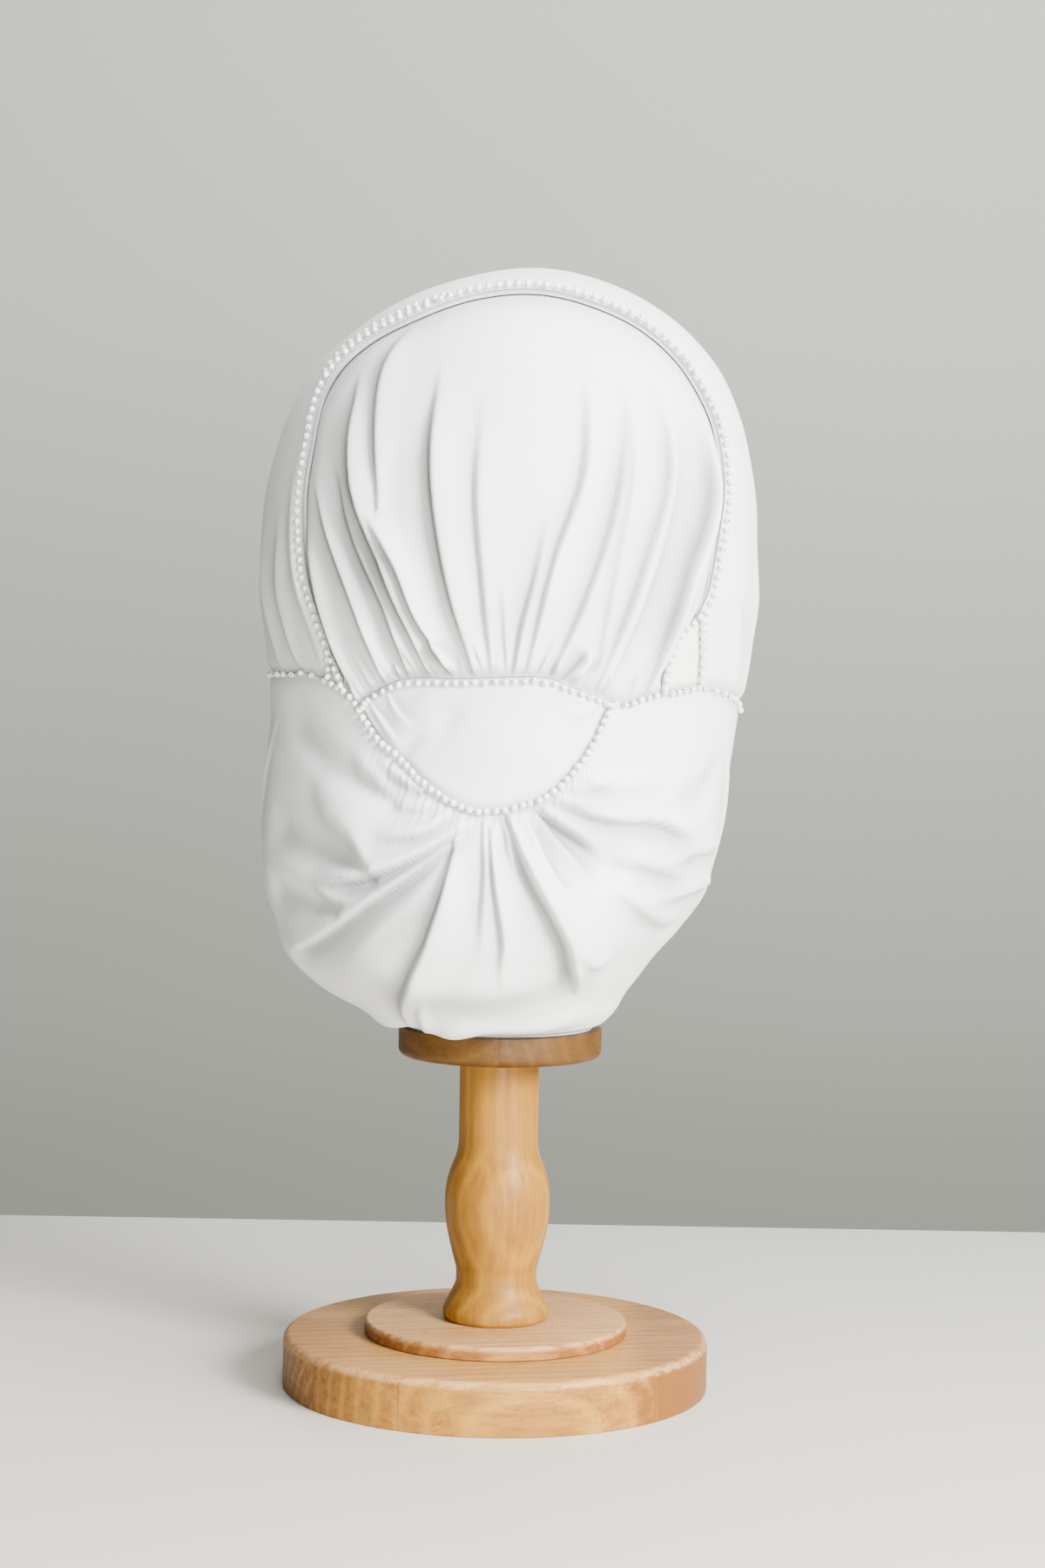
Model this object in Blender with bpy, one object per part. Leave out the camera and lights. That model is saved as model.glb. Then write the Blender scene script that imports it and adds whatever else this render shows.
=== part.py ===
"""Pleated bridal turban on a turned wooden stand.

Every cloth panel is a thin closed wall on one shared form. The form is a stack of
half ellipses, one behind and one in front of the stand's axis. Seams are short tables
of points on that form, and folds are rows that lift or sink the cloth beside a curve.

Frame: +Z up, origin at the centre of the base's underside. The gathered back of the
turban looks to -Y and the face opening to +Y. +X is the right-hand side from behind.
"""

import math

import bmesh
import bpy
import numpy as np

MM = 0.001

# Stand, in millimetres
BASE_RADIUS = 85.8
BASE_HEIGHT = 21.0
STEP_RADIUS = 53.0
STEP_HEIGHT = 5.4
DISC_RADIUS = 41.0
DISC_HEIGHT = 11.5
DISC_TOP = 145.0
EDGE_ROUND = 3.2
PIECE_GAP = 0.3
ROUND_SIDES = 36
ARC_STEPS = 4

# Column: radius at a height above its foot
COLUMN_ROWS = (
    # radius, height
    (20.4, 0.0),
    (21.3, 1.2),
    (21.4, 3.6),
    (20.9, 5.2),
    (19.3, 8.4),
    (17.6, 11.7),
    (16.4, 15.0),
    (16.3, 19.0),
    (17.4, 24.0),
    (19.4, 32.0),
    (20.9, 40.2),
    (21.3, 48.0),
    (20.5, 55.6),
    (19.1, 60.6),
    (16.7, 67.0),
    (16.0, 72.0),
)
COLUMN_TOP_RADIUS = 16.0

# Cloth, in millimetres
CLOTH_WALL = 2.0
SEAM_GAP = 0.2
CORNER_CUT = 0.25
SEAM_SINK = 1.4
SEAM_SINK_REACH = 5.0
FORM_CENTRE = (0.0, 5.0, 300.0)
BAG_RADIUS = 92.0

# Form: half width, shift of the middle to +X, depth behind and before the axis
FORM_ROWS = (
    # height, half_width, shift, back, front
    (450.0, 0.0, 6.5, 0.0, 0.0),
    (446.0, 26.0, 5.4, 26.0, 26.0),
    (438.0, 47.0, 4.0, 46.0, 48.0),
    (424.0, 67.5, 3.4, 66.0, 69.0),
    (405.0, 83.8, 2.2, 79.5, 86.0),
    (380.0, 93.6, 1.5, 88.5, 96.5),
    (350.0, 98.9, 0.6, 93.0, 102.0),
    (322.0, 99.7, 0.2, 93.0, 103.0),
    (299.0, 97.0, 0.3, 89.0, 102.0),
    (284.0, 95.3, 0.4, 86.5, 100.0),
    (270.0, 93.6, -0.6, 85.5, 97.0),
    (250.0, 93.0, -2.8, 86.5, 91.0),
    (225.0, 91.8, -5.0, 91.0, 80.0),
    (203.0, 89.0, -6.8, 94.0, 69.0),
    (187.0, 81.0, -9.5, 91.0, 61.0),
    (174.0, 73.2, -12.9, 83.0, 54.5),
    (162.0, 62.5, -11.0, 69.0, 48.5),
    (152.0, 50.0, -4.5, 54.0, 43.0),
    (145.4, 38.0, 0.0, 38.0, 38.0),
)

# Seams seen from behind. The main one joins crown and band from gusset to gusset
BAND_SEAM = (
    # x, height
    (-66.8, 293.0),
    (-73.5, 311.0),
    (-78.5, 330.0),
    (-79.8, 350.0),
    (-77.5, 374.0),
    (-72.0, 398.0),
    (-57.0, 415.0),
    (-36.0, 425.5),
    (-12.0, 434.0),
    (12.0, 436.0),
    (36.0, 430.0),
    (56.0, 419.5),
    (71.0, 404.0),
    (81.0, 385.0),
    (84.5, 364.0),
    (82.5, 342.0),
    (79.0, 322.0),
    (74.6, 311.0),
)
GUSSET_LEFT_INNER = (
    # x, height
    (-66.8, 293.0),
    (-64.0, 287.0),
    (-61.6, 280.6),
)
GUSSET_LEFT_OUTER = (
    # x, height
    (-66.8, 293.0),
    (-67.2, 288.0),
    (-66.8, 283.4),
)
GUSSET_RIGHT_INNER = (
    # x, height
    (74.6, 311.0),
    (67.0, 303.0),
    (62.5, 293.0),
    (60.0, 281.0),
)
GUSSET_RIGHT_OUTER = (
    # x, height
    (74.6, 311.0),
    (75.4, 297.0),
    (75.2, 283.6),
)
YOKE_TOP = (
    # x, height
    (-55.5, 274.0),
    (-52.0, 277.8),
    (-45.5, 281.8),
    (-35.5, 285.0),
    (-16.0, 285.2),
    (13.0, 286.2),
    (26.5, 282.4),
    (40.6, 277.6),
)
YOKE_FOOT = (
    # x, height
    (-55.5, 274.0),
    (-47.0, 262.3),
    (-38.5, 255.0),
    (-28.5, 245.5),
    (-12.0, 236.5),
    (8.0, 238.6),
    (21.0, 245.6),
    (32.5, 260.0),
    (40.6, 277.6),
)
BAG_SEAM_LEFT = (
    # x, height
    (-61.6, 280.6),
    (-58.4, 278.0),
    (-55.5, 274.0),
)
BAG_SEAM_RIGHT = (
    # x, height
    (40.6, 277.6),
    (47.0, 277.0),
    (54.5, 279.6),
    (60.0, 281.0),
)

# Face opening, an oval seen from the front
FACE_HALF_WIDTH = 74.0
FACE_HALF_HEIGHT = 98.0
FACE_CENTRE_HEIGHT = 308.0

# Top edge of the bag beside the neck, in degrees round from the back's middle to +X
CHIN_EDGE = (
    # azimuth, height
    (180.0, 209.6),
    (159.0, 215.6),
    (146.0, 231.0),
    (137.0, 254.0),
)
BAND_FOOT_LEFT = (
    # azimuth, height
    (-132.8, 285.0),
    (-100.0, 286.2),
    (-66.0, 286.0),
    (-57.0, 286.2),
    (-47.2, 283.4),
)
BAND_FOOT_RIGHT = (
    # azimuth, height
    (54.0, 283.6),
    (68.0, 280.6),
    (88.0, 276.2),
    (115.0, 275.6),
    (133.4, 275.0),
)

# Which side of a crease lies on top, seen from outside and from foot to tip
LEFT = 1.0
RIGHT = -1.0

# Folds of the crown: a curve from the yoke through a middle point to its upper end,
# the reach to each side, the height of the step beside it and the side on top
CROWN_FOLDS = (
    # foot_x, foot_z, mid_x, mid_z, tip_x, tip_z, reach, depth, lap
    (-58.0, 280.0, -70.0, 320.0, -74.0, 352.0, 6.0, 2.2, RIGHT),
    (-45.0, 288.0, -58.0, 320.0, -68.0, 366.0, 7.0, 2.6, RIGHT),
    (-29.0, 288.0, -52.0, 330.0, -55.0, 400.0, 7.5, 3.6, RIGHT),
    (-12.0, 290.0, -41.0, 345.0, -44.0, 398.0, 7.5, 3.0, RIGHT),
    (-9.0, 292.0, -24.0, 335.0, -22.0, 396.0, 7.0, 2.8, RIGHT),
    (-4.0, 292.0, -10.0, 335.0, -9.0, 380.0, 6.0, 1.8, RIGHT),
    (5.0, 290.0, 14.0, 325.0, 31.0, 388.0, 6.5, 2.2, RIGHT),
    (15.0, 292.0, 37.0, 330.0, 46.0, 388.0, 6.5, 2.6, RIGHT),
    (33.0, 286.0, 52.0, 322.0, 64.0, 376.0, 7.0, 3.0, RIGHT),
    (52.0, 286.0, 71.0, 322.0, 80.0, 378.0, 8.0, 3.6, RIGHT),
)

# Folds of the bag, with the distance round the back in place of x
BAG_FOLDS = (
    # foot_x, foot_z, mid_x, mid_z, tip_x, tip_z, reach, depth, lap
    (-20.0, 225.0, -50.0, 208.0, -96.0, 186.0, 7.0, 3.2, RIGHT),
    (-24.0, 234.0, -52.0, 224.0, -96.0, 214.0, 7.0, 2.6, RIGHT),
    (-40.0, 248.0, -72.0, 234.0, -104.0, 240.0, 9.0, 3.0, RIGHT),
    (-20.0, 220.0, -26.0, 195.0, -36.0, 158.0, 6.0, 3.0, LEFT),
    (-7.0, 230.0, -9.0, 205.0, -10.0, 170.0, 6.0, 1.8, LEFT),
    (0.0, 230.0, 10.0, 205.0, 27.0, 166.0, 7.0, 3.2, LEFT),
    (9.0, 234.0, 22.0, 212.0, 44.0, 180.0, 7.0, 2.6, LEFT),
    (15.0, 236.0, 34.0, 224.0, 66.0, 212.0, 7.0, 2.8, LEFT),
    (22.0, 240.0, 54.0, 232.0, 88.0, 228.0, 7.0, 2.6, LEFT),
    (34.0, 246.0, 60.0, 246.0, 96.0, 262.0, 8.0, 2.4, LEFT),
)

# Folds of the band, with the distance round the back in place of x
BAND_FOLDS = (
    # foot_x, foot_z, mid_x, mid_z, tip_x, tip_z, reach, depth, lap
    (-98.0, 290.0, -108.0, 330.0, -104.0, 380.0, 9.0, 2.2, RIGHT),
    (-118.0, 290.0, -132.0, 325.0, -128.0, 360.0, 9.0, 2.4, RIGHT),
    (112.0, 286.0, 122.0, 325.0, 118.0, 370.0, 10.0, 1.6, LEFT),
)

# Points on each seam, shared by the pieces that meet there
YOKE_STEPS = 29
BAND_SEAM_STEPS = 26
GUSSET_RIGHT_STEPS = 9
BAND_FOOT_STEPS = 11
CHIN_STEPS = 11
BAG_SEAM_LEFT_STEPS = 3
BAG_SEAM_RIGHT_STEPS = 6

# Rows of each panel from its first edge to the opposite one
CROWN_ROWS = 15
YOKE_ROWS = 5
GUSSET_BASE_STEPS = 3
BAG_ROWS = 12

SATIN_WHITE = (0.86, 0.875, 0.86)
GUSSET_IVORY = (0.88, 0.875, 0.83)
RUBBERWOOD = (0.62, 0.41, 0.22)


def clear_scene():
    """Remove every object of the open scene."""
    for item in list(bpy.data.objects):
        bpy.data.objects.remove(item, do_unlink=True)


def make_material(name, colour, roughness):
    """Return a Principled material with one colour."""
    material = bpy.data.materials.new(name)
    material.use_nodes = True
    shader = material.node_tree.nodes["Principled BSDF"]
    shader.inputs["Base Color"].default_value = (*colour, 1.0)
    shader.inputs["Roughness"].default_value = roughness
    shader.inputs["Metallic"].default_value = 0.0
    material.diffuse_color = (*colour, 1.0)
    return material


def smooth_curve(knots, values, x):
    """Interpolate without overshoot: a cubic whose slopes keep each rise or fall."""
    step = np.diff(knots)
    rise = np.diff(values) / step
    slope = np.zeros_like(values)
    before = 2.0 * step[1:] + step[:-1]
    after = step[1:] + 2.0 * step[:-1]
    same_way = rise[:-1] * rise[1:] > 0.0
    safe_low = np.where(same_way, rise[:-1], 1.0)
    safe_high = np.where(same_way, rise[1:], 1.0)
    blend = (before + after) / (before / safe_low + after / safe_high)
    slope[1:-1] = np.where(same_way, blend, 0.0)
    slope[0] = rise[0]
    slope[-1] = rise[-1]
    x = np.clip(x, knots[0], knots[-1])
    row = np.clip(np.searchsorted(knots, x) - 1, 0, len(knots) - 2)
    t = (x - knots[row]) / step[row]
    low = values[row] * (1.0 + 2.0 * t) * (1.0 - t) ** 2
    high = values[row + 1] * t * t * (3.0 - 2.0 * t)
    lean = slope[row] * t * (1.0 - t) ** 2 - slope[row + 1] * t * t * (1.0 - t)
    return low + high + lean * step[row]


def section_at(height):
    """Return half width, shift, back and front depth of the form at each height.

    Widths and depths run as squares, so that the top and the hem close round.
    """
    rows = np.array(FORM_ROWS)[::-1]
    knots = rows[:, 0]
    half = np.sqrt(np.maximum(smooth_curve(knots, rows[:, 1] ** 2, height), 0.0))
    shift = smooth_curve(knots, rows[:, 2], height)
    back = np.sqrt(np.maximum(smooth_curve(knots, rows[:, 3] ** 2, height), 0.0))
    front = np.sqrt(np.maximum(smooth_curve(knots, rows[:, 4] ** 2, height), 0.0))
    return half, shift, back, front


def outside_form(points):
    """Return a value above zero outside the form and below zero within it."""
    half, shift, back, front = section_at(points[..., 2])
    depth = np.where(points[..., 1] < 0.0, back, front)
    across = (points[..., 0] - shift) / np.maximum(half, 0.01)
    along = points[..., 1] / np.maximum(depth, 0.01)
    level = across ** 2 + along ** 2 - 1.0
    top = FORM_ROWS[0][0]
    return np.where(points[..., 2] > top, 1.0, level)


def cast_from_centre(directions):
    """Return where rays from the form's centre leave it, by halving."""
    centre = np.array(FORM_CENTRE)
    near = np.zeros(directions.shape[:-1])
    far = np.full(directions.shape[:-1], 220.0)
    for _ in range(36):
        middle = 0.5 * (near + far)
        out = outside_form(centre + middle[..., None] * directions) > 0.0
        far = np.where(out, middle, far)
        near = np.where(out, near, middle)
    return centre + near[..., None] * directions


def on_back(rows):
    """Return the form's points behind the axis for rows of x and height."""
    rows = np.array(rows, dtype=float)
    half, shift, back, _ = section_at(rows[:, 1])
    across = np.clip((rows[:, 0] - shift) / half, -1.0, 1.0)
    return np.stack([rows[:, 0], -back * np.sqrt(1.0 - across ** 2), rows[:, 1]], -1)


def on_azimuth(azimuth, height):
    """Return the form's points at an angle round from the back's middle, in degrees."""
    half, shift, back, front = section_at(height)
    angle = np.radians(azimuth)
    depth = np.where(np.cos(angle) > 0.0, back, front)
    radius = 1.0 / np.sqrt((np.sin(angle) / half) ** 2 + (np.cos(angle) / depth) ** 2)
    return np.stack([shift + radius * np.sin(angle), -radius * np.cos(angle), height], -1)


def azimuth_of(points):
    """Return the angle round from the back's middle, in degrees."""
    shift = section_at(points[..., 2])[1]
    return np.degrees(np.arctan2(points[..., 0] - shift, -points[..., 1]))


def evenly(points, count):
    """Return a smooth curve through the points, resampled to even steps."""
    points = np.array(points, dtype=float)
    padded = np.vstack([2 * points[0] - points[1], points, 2 * points[-1] - points[-2]])
    t = np.linspace(0.0, 1.0, 9)[:-1, None]
    stretches = []
    for first in range(len(points) - 1):
        a, b, c, d = padded[first:first + 4]
        curve = 2 * b + (c - a) * t + (2 * a - 5 * b + 4 * c - d) * t ** 2
        stretches.append(0.5 * (curve + (3 * b - a - 3 * c + d) * t ** 3))
    line = np.vstack(stretches + [points[-1:]])
    length = np.concatenate([[0.0], np.cumsum(np.linalg.norm(np.diff(line, axis=0), axis=1))])
    even = np.linspace(0.0, length[-1], count)
    return np.stack([np.interp(even, length, line[:, k]) for k in range(line.shape[1])], -1)


def unit(ways):
    """Return the vectors at length one."""
    return ways / np.maximum(np.linalg.norm(ways, axis=-1, keepdims=True), 1e-9)


def to_directions(points):
    """Return unit vectors from the form's centre to the points."""
    return unit(points - np.array(FORM_CENTRE))


def patch(first, last, start, end):
    """Return a grid on the form that meets four edge curves.

    Each row runs from the first edge to the last one in a plane with the form's centre.
    What the start and end rows miss of their own curves is shared out over the rows.
    """
    first, last = to_directions(first), to_directions(last)
    start, end = to_directions(start), to_directions(end)
    part = np.linspace(0.0, 1.0, len(start))[None, :, None]
    way = unit((1.0 - part) * first[:, None] + part * last[:, None])
    share = np.linspace(0.0, 1.0, len(first))[:, None, None]
    missed = (1.0 - share) * (start - way[0]) + share * (end - way[-1])
    return cast_from_centre(unit(way + missed))


def form_normals(points):
    """Return outward normals of the form by small differences of its level value."""
    reach = 0.5
    slopes = []
    for axis in range(3):
        offset = np.zeros(3)
        offset[axis] = reach
        slopes.append(outside_form(points + offset) - outside_form(points - offset))
    return unit(np.stack(slopes, -1))


def fold_relief(across, height, folds):
    """Return the lift of the cloth beside each fold, in millimetres.

    A fold is a curve with a crease on it, a crest on the side that laps on top and a
    slow fall beyond, which fades out towards both ends of the curve.
    """
    place = np.stack([across, height], -1)
    lift = np.zeros(across.shape)
    t = np.linspace(0.0, 1.0, 13)[:, None]
    for foot_x, foot_z, mid_x, mid_z, tip_x, tip_z, reach, depth, lap in folds:
        foot = np.array([foot_x, foot_z])
        tip = np.array([tip_x, tip_z])
        bend = 2.0 * np.array([mid_x, mid_z]) - 0.5 * (foot + tip)
        curve = (1 - t) ** 2 * foot + 2 * t * (1 - t) * bend + t ** 2 * tip
        nearest = np.full(across.shape, 1e9)
        side = np.zeros(across.shape)
        part = np.zeros(across.shape)
        for step in range(len(curve) - 1):
            way = curve[step + 1] - curve[step]
            off = place - curve[step]
            along = np.clip((off @ way) / (way @ way), 0.0, 1.0)
            gap = off - along[..., None] * way
            distance = np.linalg.norm(gap, axis=-1)
            closer = distance < nearest
            turn = way[0] * gap[..., 1] - way[1] * gap[..., 0]
            nearest = np.where(closer, distance, nearest)
            side = np.where(closer, lap * np.sign(turn), side)
            part = np.where(closer, (step + along) / (len(curve) - 1), part)
        fade = np.clip(np.minimum(part * 7.0 + 0.45, (1.0 - part) * 3.0), 0.0, 1.0)
        crease = -np.exp(-((nearest / (0.45 * reach)) ** 2))
        crest = np.exp(-(((nearest * side - 0.8 * reach) / (0.6 * reach)) ** 2))
        lift += fade * depth * (crease + 0.8 * crest)
    return lift


def seam_fall(grid, ring=False):
    """Return how far each grid point sinks towards the panel's seams."""
    across = np.linalg.norm(np.diff(grid, axis=1), axis=2)
    from_start = np.concatenate([np.zeros((len(grid), 1)), np.cumsum(across, 1)], 1)
    nearest = np.minimum(from_start, from_start[:, -1:] - from_start)
    if not ring:
        along = np.linalg.norm(np.diff(grid, axis=0), axis=2)
        from_end = np.concatenate([np.zeros((1, grid.shape[1])), np.cumsum(along, 0)], 0)
        nearest = np.minimum(nearest, np.minimum(from_end, from_end[-1:] - from_end))
    return nearest


def drape(grid, across, folds, ring=False):
    """Lift a grid on the form by its folds and sink it at its seams."""
    nearest = seam_fall(grid, ring)
    held = 1.0 - np.exp(-((nearest / SEAM_SINK_REACH) ** 2))
    lift = fold_relief(across, grid[..., 2], folds) * held - SEAM_SINK * (1.0 - held)
    return grid + form_normals(grid) * lift[..., None]


def square_inset(edge, beside, gap):
    """Return an edge moved square to itself towards the points beside it."""
    tangent = unit(np.gradient(edge, axis=0))
    way = beside - edge
    square = way - (way * tangent).sum(1, keepdims=True) * tangent
    return edge + unit(square) * np.minimum(gap, 0.3 * np.linalg.norm(square, axis=1))[:, None]


def inset(grid, ring=False):
    """Draw a grid's edges in by half the gap that its seams keep."""
    out = grid.copy()
    out[:, 0] = square_inset(grid[:, 0], grid[:, 1], SEAM_GAP)
    out[:, -1] = square_inset(grid[:, -1], grid[:, -2], SEAM_GAP)
    if not ring:
        base = out.copy()
        out[0] = square_inset(base[0], base[1], SEAM_GAP)
        out[-1] = square_inset(base[-1], base[-2], SEAM_GAP)
    return out


def cloth_wall(name, grid, material, ring=False):
    """Build a closed wall of cloth: the grid, its inner copy and the rims between.

    The inner copy lies one cloth thickness inside, along the form's own normals.
    """
    outer = np.asarray(grid)
    inner = outer - form_normals(outer) * CLOTH_WALL
    rows, columns = outer.shape[:2]
    vertices = np.vstack([outer.reshape(-1, 3), inner.reshape(-1, 3)]) * MM
    index = np.arange(rows * columns).reshape(rows, columns)
    if ring:
        index = np.vstack([index, index[:1]])
    below = rows * columns
    a, b, c, d = index[:-1, :-1], index[1:, :-1], index[1:, 1:], index[:-1, 1:]
    faces = []
    for corners in ((a, b, c), (a, c, d)):
        triangle = np.stack(corners, -1).reshape(-1, 3)
        faces += triangle.tolist() + (triangle[:, ::-1] + below).tolist()
    edges = [index[:, 0][::-1], index[:, -1]]
    if not ring:
        edges += [index[0], index[-1][::-1]]
    for edge in edges:
        rim = np.stack([edge[1:], edge[:-1], edge[:-1] + below, edge[1:] + below], -1)
        faces += rim.tolist()
    mesh = bpy.data.meshes.new(name)
    mesh.from_pydata(vertices.tolist(), [], faces)
    mesh.materials.append(material)
    return place_mesh(name, mesh)


def place_mesh(name, mesh):
    """Turn a mesh's faces outwards, shade it smooth and link its object."""
    shell = bmesh.new()
    shell.from_mesh(mesh)
    bmesh.ops.triangulate(shell, faces=shell.faces[:])
    bmesh.ops.recalc_face_normals(shell, faces=shell.faces[:])
    if shell.calc_volume(signed=True) < 0.0:
        bmesh.ops.reverse_faces(shell, faces=shell.faces[:])
    shell.to_mesh(mesh)
    shell.free()
    mesh.shade_smooth()
    mesh.set_sharp_from_angle(angle=math.radians(50.0))
    piece = bpy.data.objects.new(name, mesh)
    bpy.context.scene.collection.objects.link(piece)
    return piece


def turned_piece(name, profile, foot, material):
    """Spin a profile of radius and height rows round the axis into a closed solid."""
    rows = np.array(profile, dtype=float)
    angle = np.linspace(0.0, 2.0 * math.pi, ROUND_SIDES, endpoint=False)
    shell = bmesh.new()
    rings = []
    for radius, height in rows:
        ring = []
        for turn in angle:
            spot = (radius * math.cos(turn) * MM, radius * math.sin(turn) * MM, height * MM)
            ring.append(shell.verts.new(spot))
        rings.append(ring)
    for lower, upper in zip(rings[:-1], rings[1:]):
        for k in range(ROUND_SIDES):
            after = (k + 1) % ROUND_SIDES
            shell.faces.new((lower[k], lower[after], upper[after], upper[k]))
    shell.faces.new(rings[0][::-1])
    shell.faces.new(rings[-1])
    mesh = bpy.data.meshes.new(name)
    shell.to_mesh(mesh)
    shell.free()
    mesh.materials.append(material)
    piece = place_mesh(name, mesh)
    piece.location = (0.0, 0.0, foot * MM)
    return piece


def rounded_edge(radius, height, round_low, round_high):
    """Return the profile of a disc whose lower and upper edges may be rounded."""
    profile = []
    turns = np.linspace(0.0, 0.5 * math.pi, ARC_STEPS)
    if round_low > 0.0:
        for turn in turns:
            out = radius - round_low + round_low * math.sin(turn)
            profile.append((out, round_low - round_low * math.cos(turn)))
    else:
        profile.append((radius, 0.0))
    if round_high > 0.0:
        for turn in turns:
            out = radius - round_high + round_high * math.cos(turn)
            profile.append((out, height - round_high + round_high * math.sin(turn)))
    else:
        profile.append((radius, height))
    return profile


def build_stand(wood):
    """Build the base, its raised step, the column and the disc on top."""
    turned_piece("stand_base", rounded_edge(BASE_RADIUS, BASE_HEIGHT, 0.0, EDGE_ROUND), 0.0, wood)
    step_foot = BASE_HEIGHT + PIECE_GAP
    step = rounded_edge(STEP_RADIUS, STEP_HEIGHT, 0.0, 1.5)
    turned_piece("stand_step", step, step_foot, wood)
    column_foot = step_foot + STEP_HEIGHT + PIECE_GAP
    disc_foot = DISC_TOP - DISC_HEIGHT
    column_height = disc_foot - PIECE_GAP - column_foot
    column = COLUMN_ROWS + ((COLUMN_TOP_RADIUS, column_height),)
    turned_piece("stand_column", column, column_foot, wood)
    disc = rounded_edge(DISC_RADIUS, DISC_HEIGHT, EDGE_ROUND, 0.0)
    turned_piece("stand_top_disc", disc, disc_foot, wood)


def straight(first, last, count):
    """Return the form's points on the shortest way between two of them."""
    ends = to_directions(np.stack([first, last]))
    part = np.linspace(0.0, 1.0, count)[:, None]
    return cast_from_centre(unit((1.0 - part) * ends[0] + part * ends[1]))


def join(*lines):
    """Join lines end to end, each without the point that it shares with the one before."""
    return np.vstack([lines[0]] + [line[1:] for line in lines[1:]])


def seam(rows, count):
    """Return even points along a seam given by x and height on the back of the form."""
    return evenly(on_back(rows), count)


def round_seam(rows, count):
    """Return even points along a seam given by azimuth and height."""
    rows = np.array(rows)
    return evenly(on_azimuth(rows[:, 0], rows[:, 1]), count)


def off_corner(line, start=CORNER_CUT, end=CORNER_CUT):
    """Return a line whose end points are moved a share of the way to their neighbours."""
    out = line.copy()
    out[0] += start * (line[1] - line[0])
    out[-1] += end * (line[-2] - line[-1])
    return out


def crown_edges():
    """Return the crown's lower edge and its seam over the top, both from left to right."""
    foot = join(seam(BAG_SEAM_LEFT, BAG_SEAM_LEFT_STEPS), seam(YOKE_TOP, YOKE_STEPS),
                seam(BAG_SEAM_RIGHT, BAG_SEAM_RIGHT_STEPS))
    over = join(seam(GUSSET_LEFT_INNER[::-1], BAG_SEAM_LEFT_STEPS),
                seam(BAND_SEAM, BAND_SEAM_STEPS),
                seam(GUSSET_RIGHT_INNER, GUSSET_RIGHT_STEPS))
    return off_corner(foot), off_corner(over)


def build_crown(cloth):
    """Build the back panel, whose rows fan out from the yoke to the band's seam."""
    foot, over = crown_edges()
    start = straight(foot[0], over[0], CROWN_ROWS)
    end = straight(foot[-1], over[-1], CROWN_ROWS)
    grid = inset(patch(foot, over, start, end))
    grid = drape(grid, grid[..., 0], CROWN_FOLDS)
    return cloth_wall("crown_panel", grid, cloth)


def face_edge(count):
    """Return the band's edge on the face opening, left foot over the top to right foot."""
    start = math.pi + math.asin((FACE_CENTRE_HEIGHT - BAND_FOOT_LEFT[0][1]) / FACE_HALF_HEIGHT)
    end = -math.asin((FACE_CENTRE_HEIGHT - BAND_FOOT_RIGHT[-1][1]) / FACE_HALF_HEIGHT)
    turn = np.linspace(start, end, count)
    x = FACE_HALF_WIDTH * np.cos(turn)
    height = FACE_CENTRE_HEIGHT + FACE_HALF_HEIGHT * np.sin(turn)
    half, shift, _, front = section_at(height)
    y = front * np.sqrt(np.maximum(1.0 - ((x - shift) / half) ** 2, 0.0))
    return np.stack([x, y, height], -1)


def band_back():
    """Return the band's edge beside the gussets and the crown, from left to right."""
    return join(seam(GUSSET_LEFT_OUTER[::-1], BAG_SEAM_LEFT_STEPS),
                seam(BAND_SEAM, BAND_SEAM_STEPS),
                seam(GUSSET_RIGHT_OUTER, GUSSET_RIGHT_STEPS))


def band_feet():
    """Return the band's two feet on the bag, each from the back to the face."""
    back = band_back()
    face = face_edge(len(back))
    left = round_seam(BAND_FOOT_LEFT[::-1], BAND_FOOT_STEPS)
    right = round_seam(BAND_FOOT_RIGHT, BAND_FOOT_STEPS)
    left[0], left[-1] = back[0], face[0]
    right[0], right[-1] = back[-1], face[-1]
    return left, right


def build_band(cloth):
    """Build the wide band from the crown's seam over the top to the face opening."""
    back = band_back()
    grid = inset(patch(back, face_edge(len(back)), *band_feet()))
    round_back = np.radians(azimuth_of(grid)) * BAG_RADIUS
    grid = drape(grid, round_back, BAND_FOLDS)
    return cloth_wall("front_band", grid, cloth)


def build_yoke(cloth):
    """Build the plain half moon at the nape, short of its two sharp corners."""
    foot = off_corner(seam(YOKE_FOOT, YOKE_STEPS))
    top = off_corner(seam(YOKE_TOP, YOKE_STEPS))
    start = straight(foot[0], top[0], YOKE_ROWS)
    end = straight(foot[-1], top[-1], YOKE_ROWS)
    grid = inset(patch(foot, top, start, end))
    grid = drape(grid, grid[..., 0], ())
    return cloth_wall("nape_yoke", grid, cloth)


def build_gusset(name, inner_rows, outer_rows, steps, ivory):
    """Build one small triangle between the crown's seam and the band, short of its apex."""
    inner = off_corner(seam(inner_rows, steps), end=0.0)
    outer = off_corner(seam(outer_rows, steps), end=0.0)
    start = straight(inner[0], outer[0], GUSSET_BASE_STEPS)
    end = straight(inner[-1], outer[-1], GUSSET_BASE_STEPS)
    grid = inset(patch(inner, outer, start, end))
    grid = drape(grid, grid[..., 0], ())
    return cloth_wall(name, grid, ivory)


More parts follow.
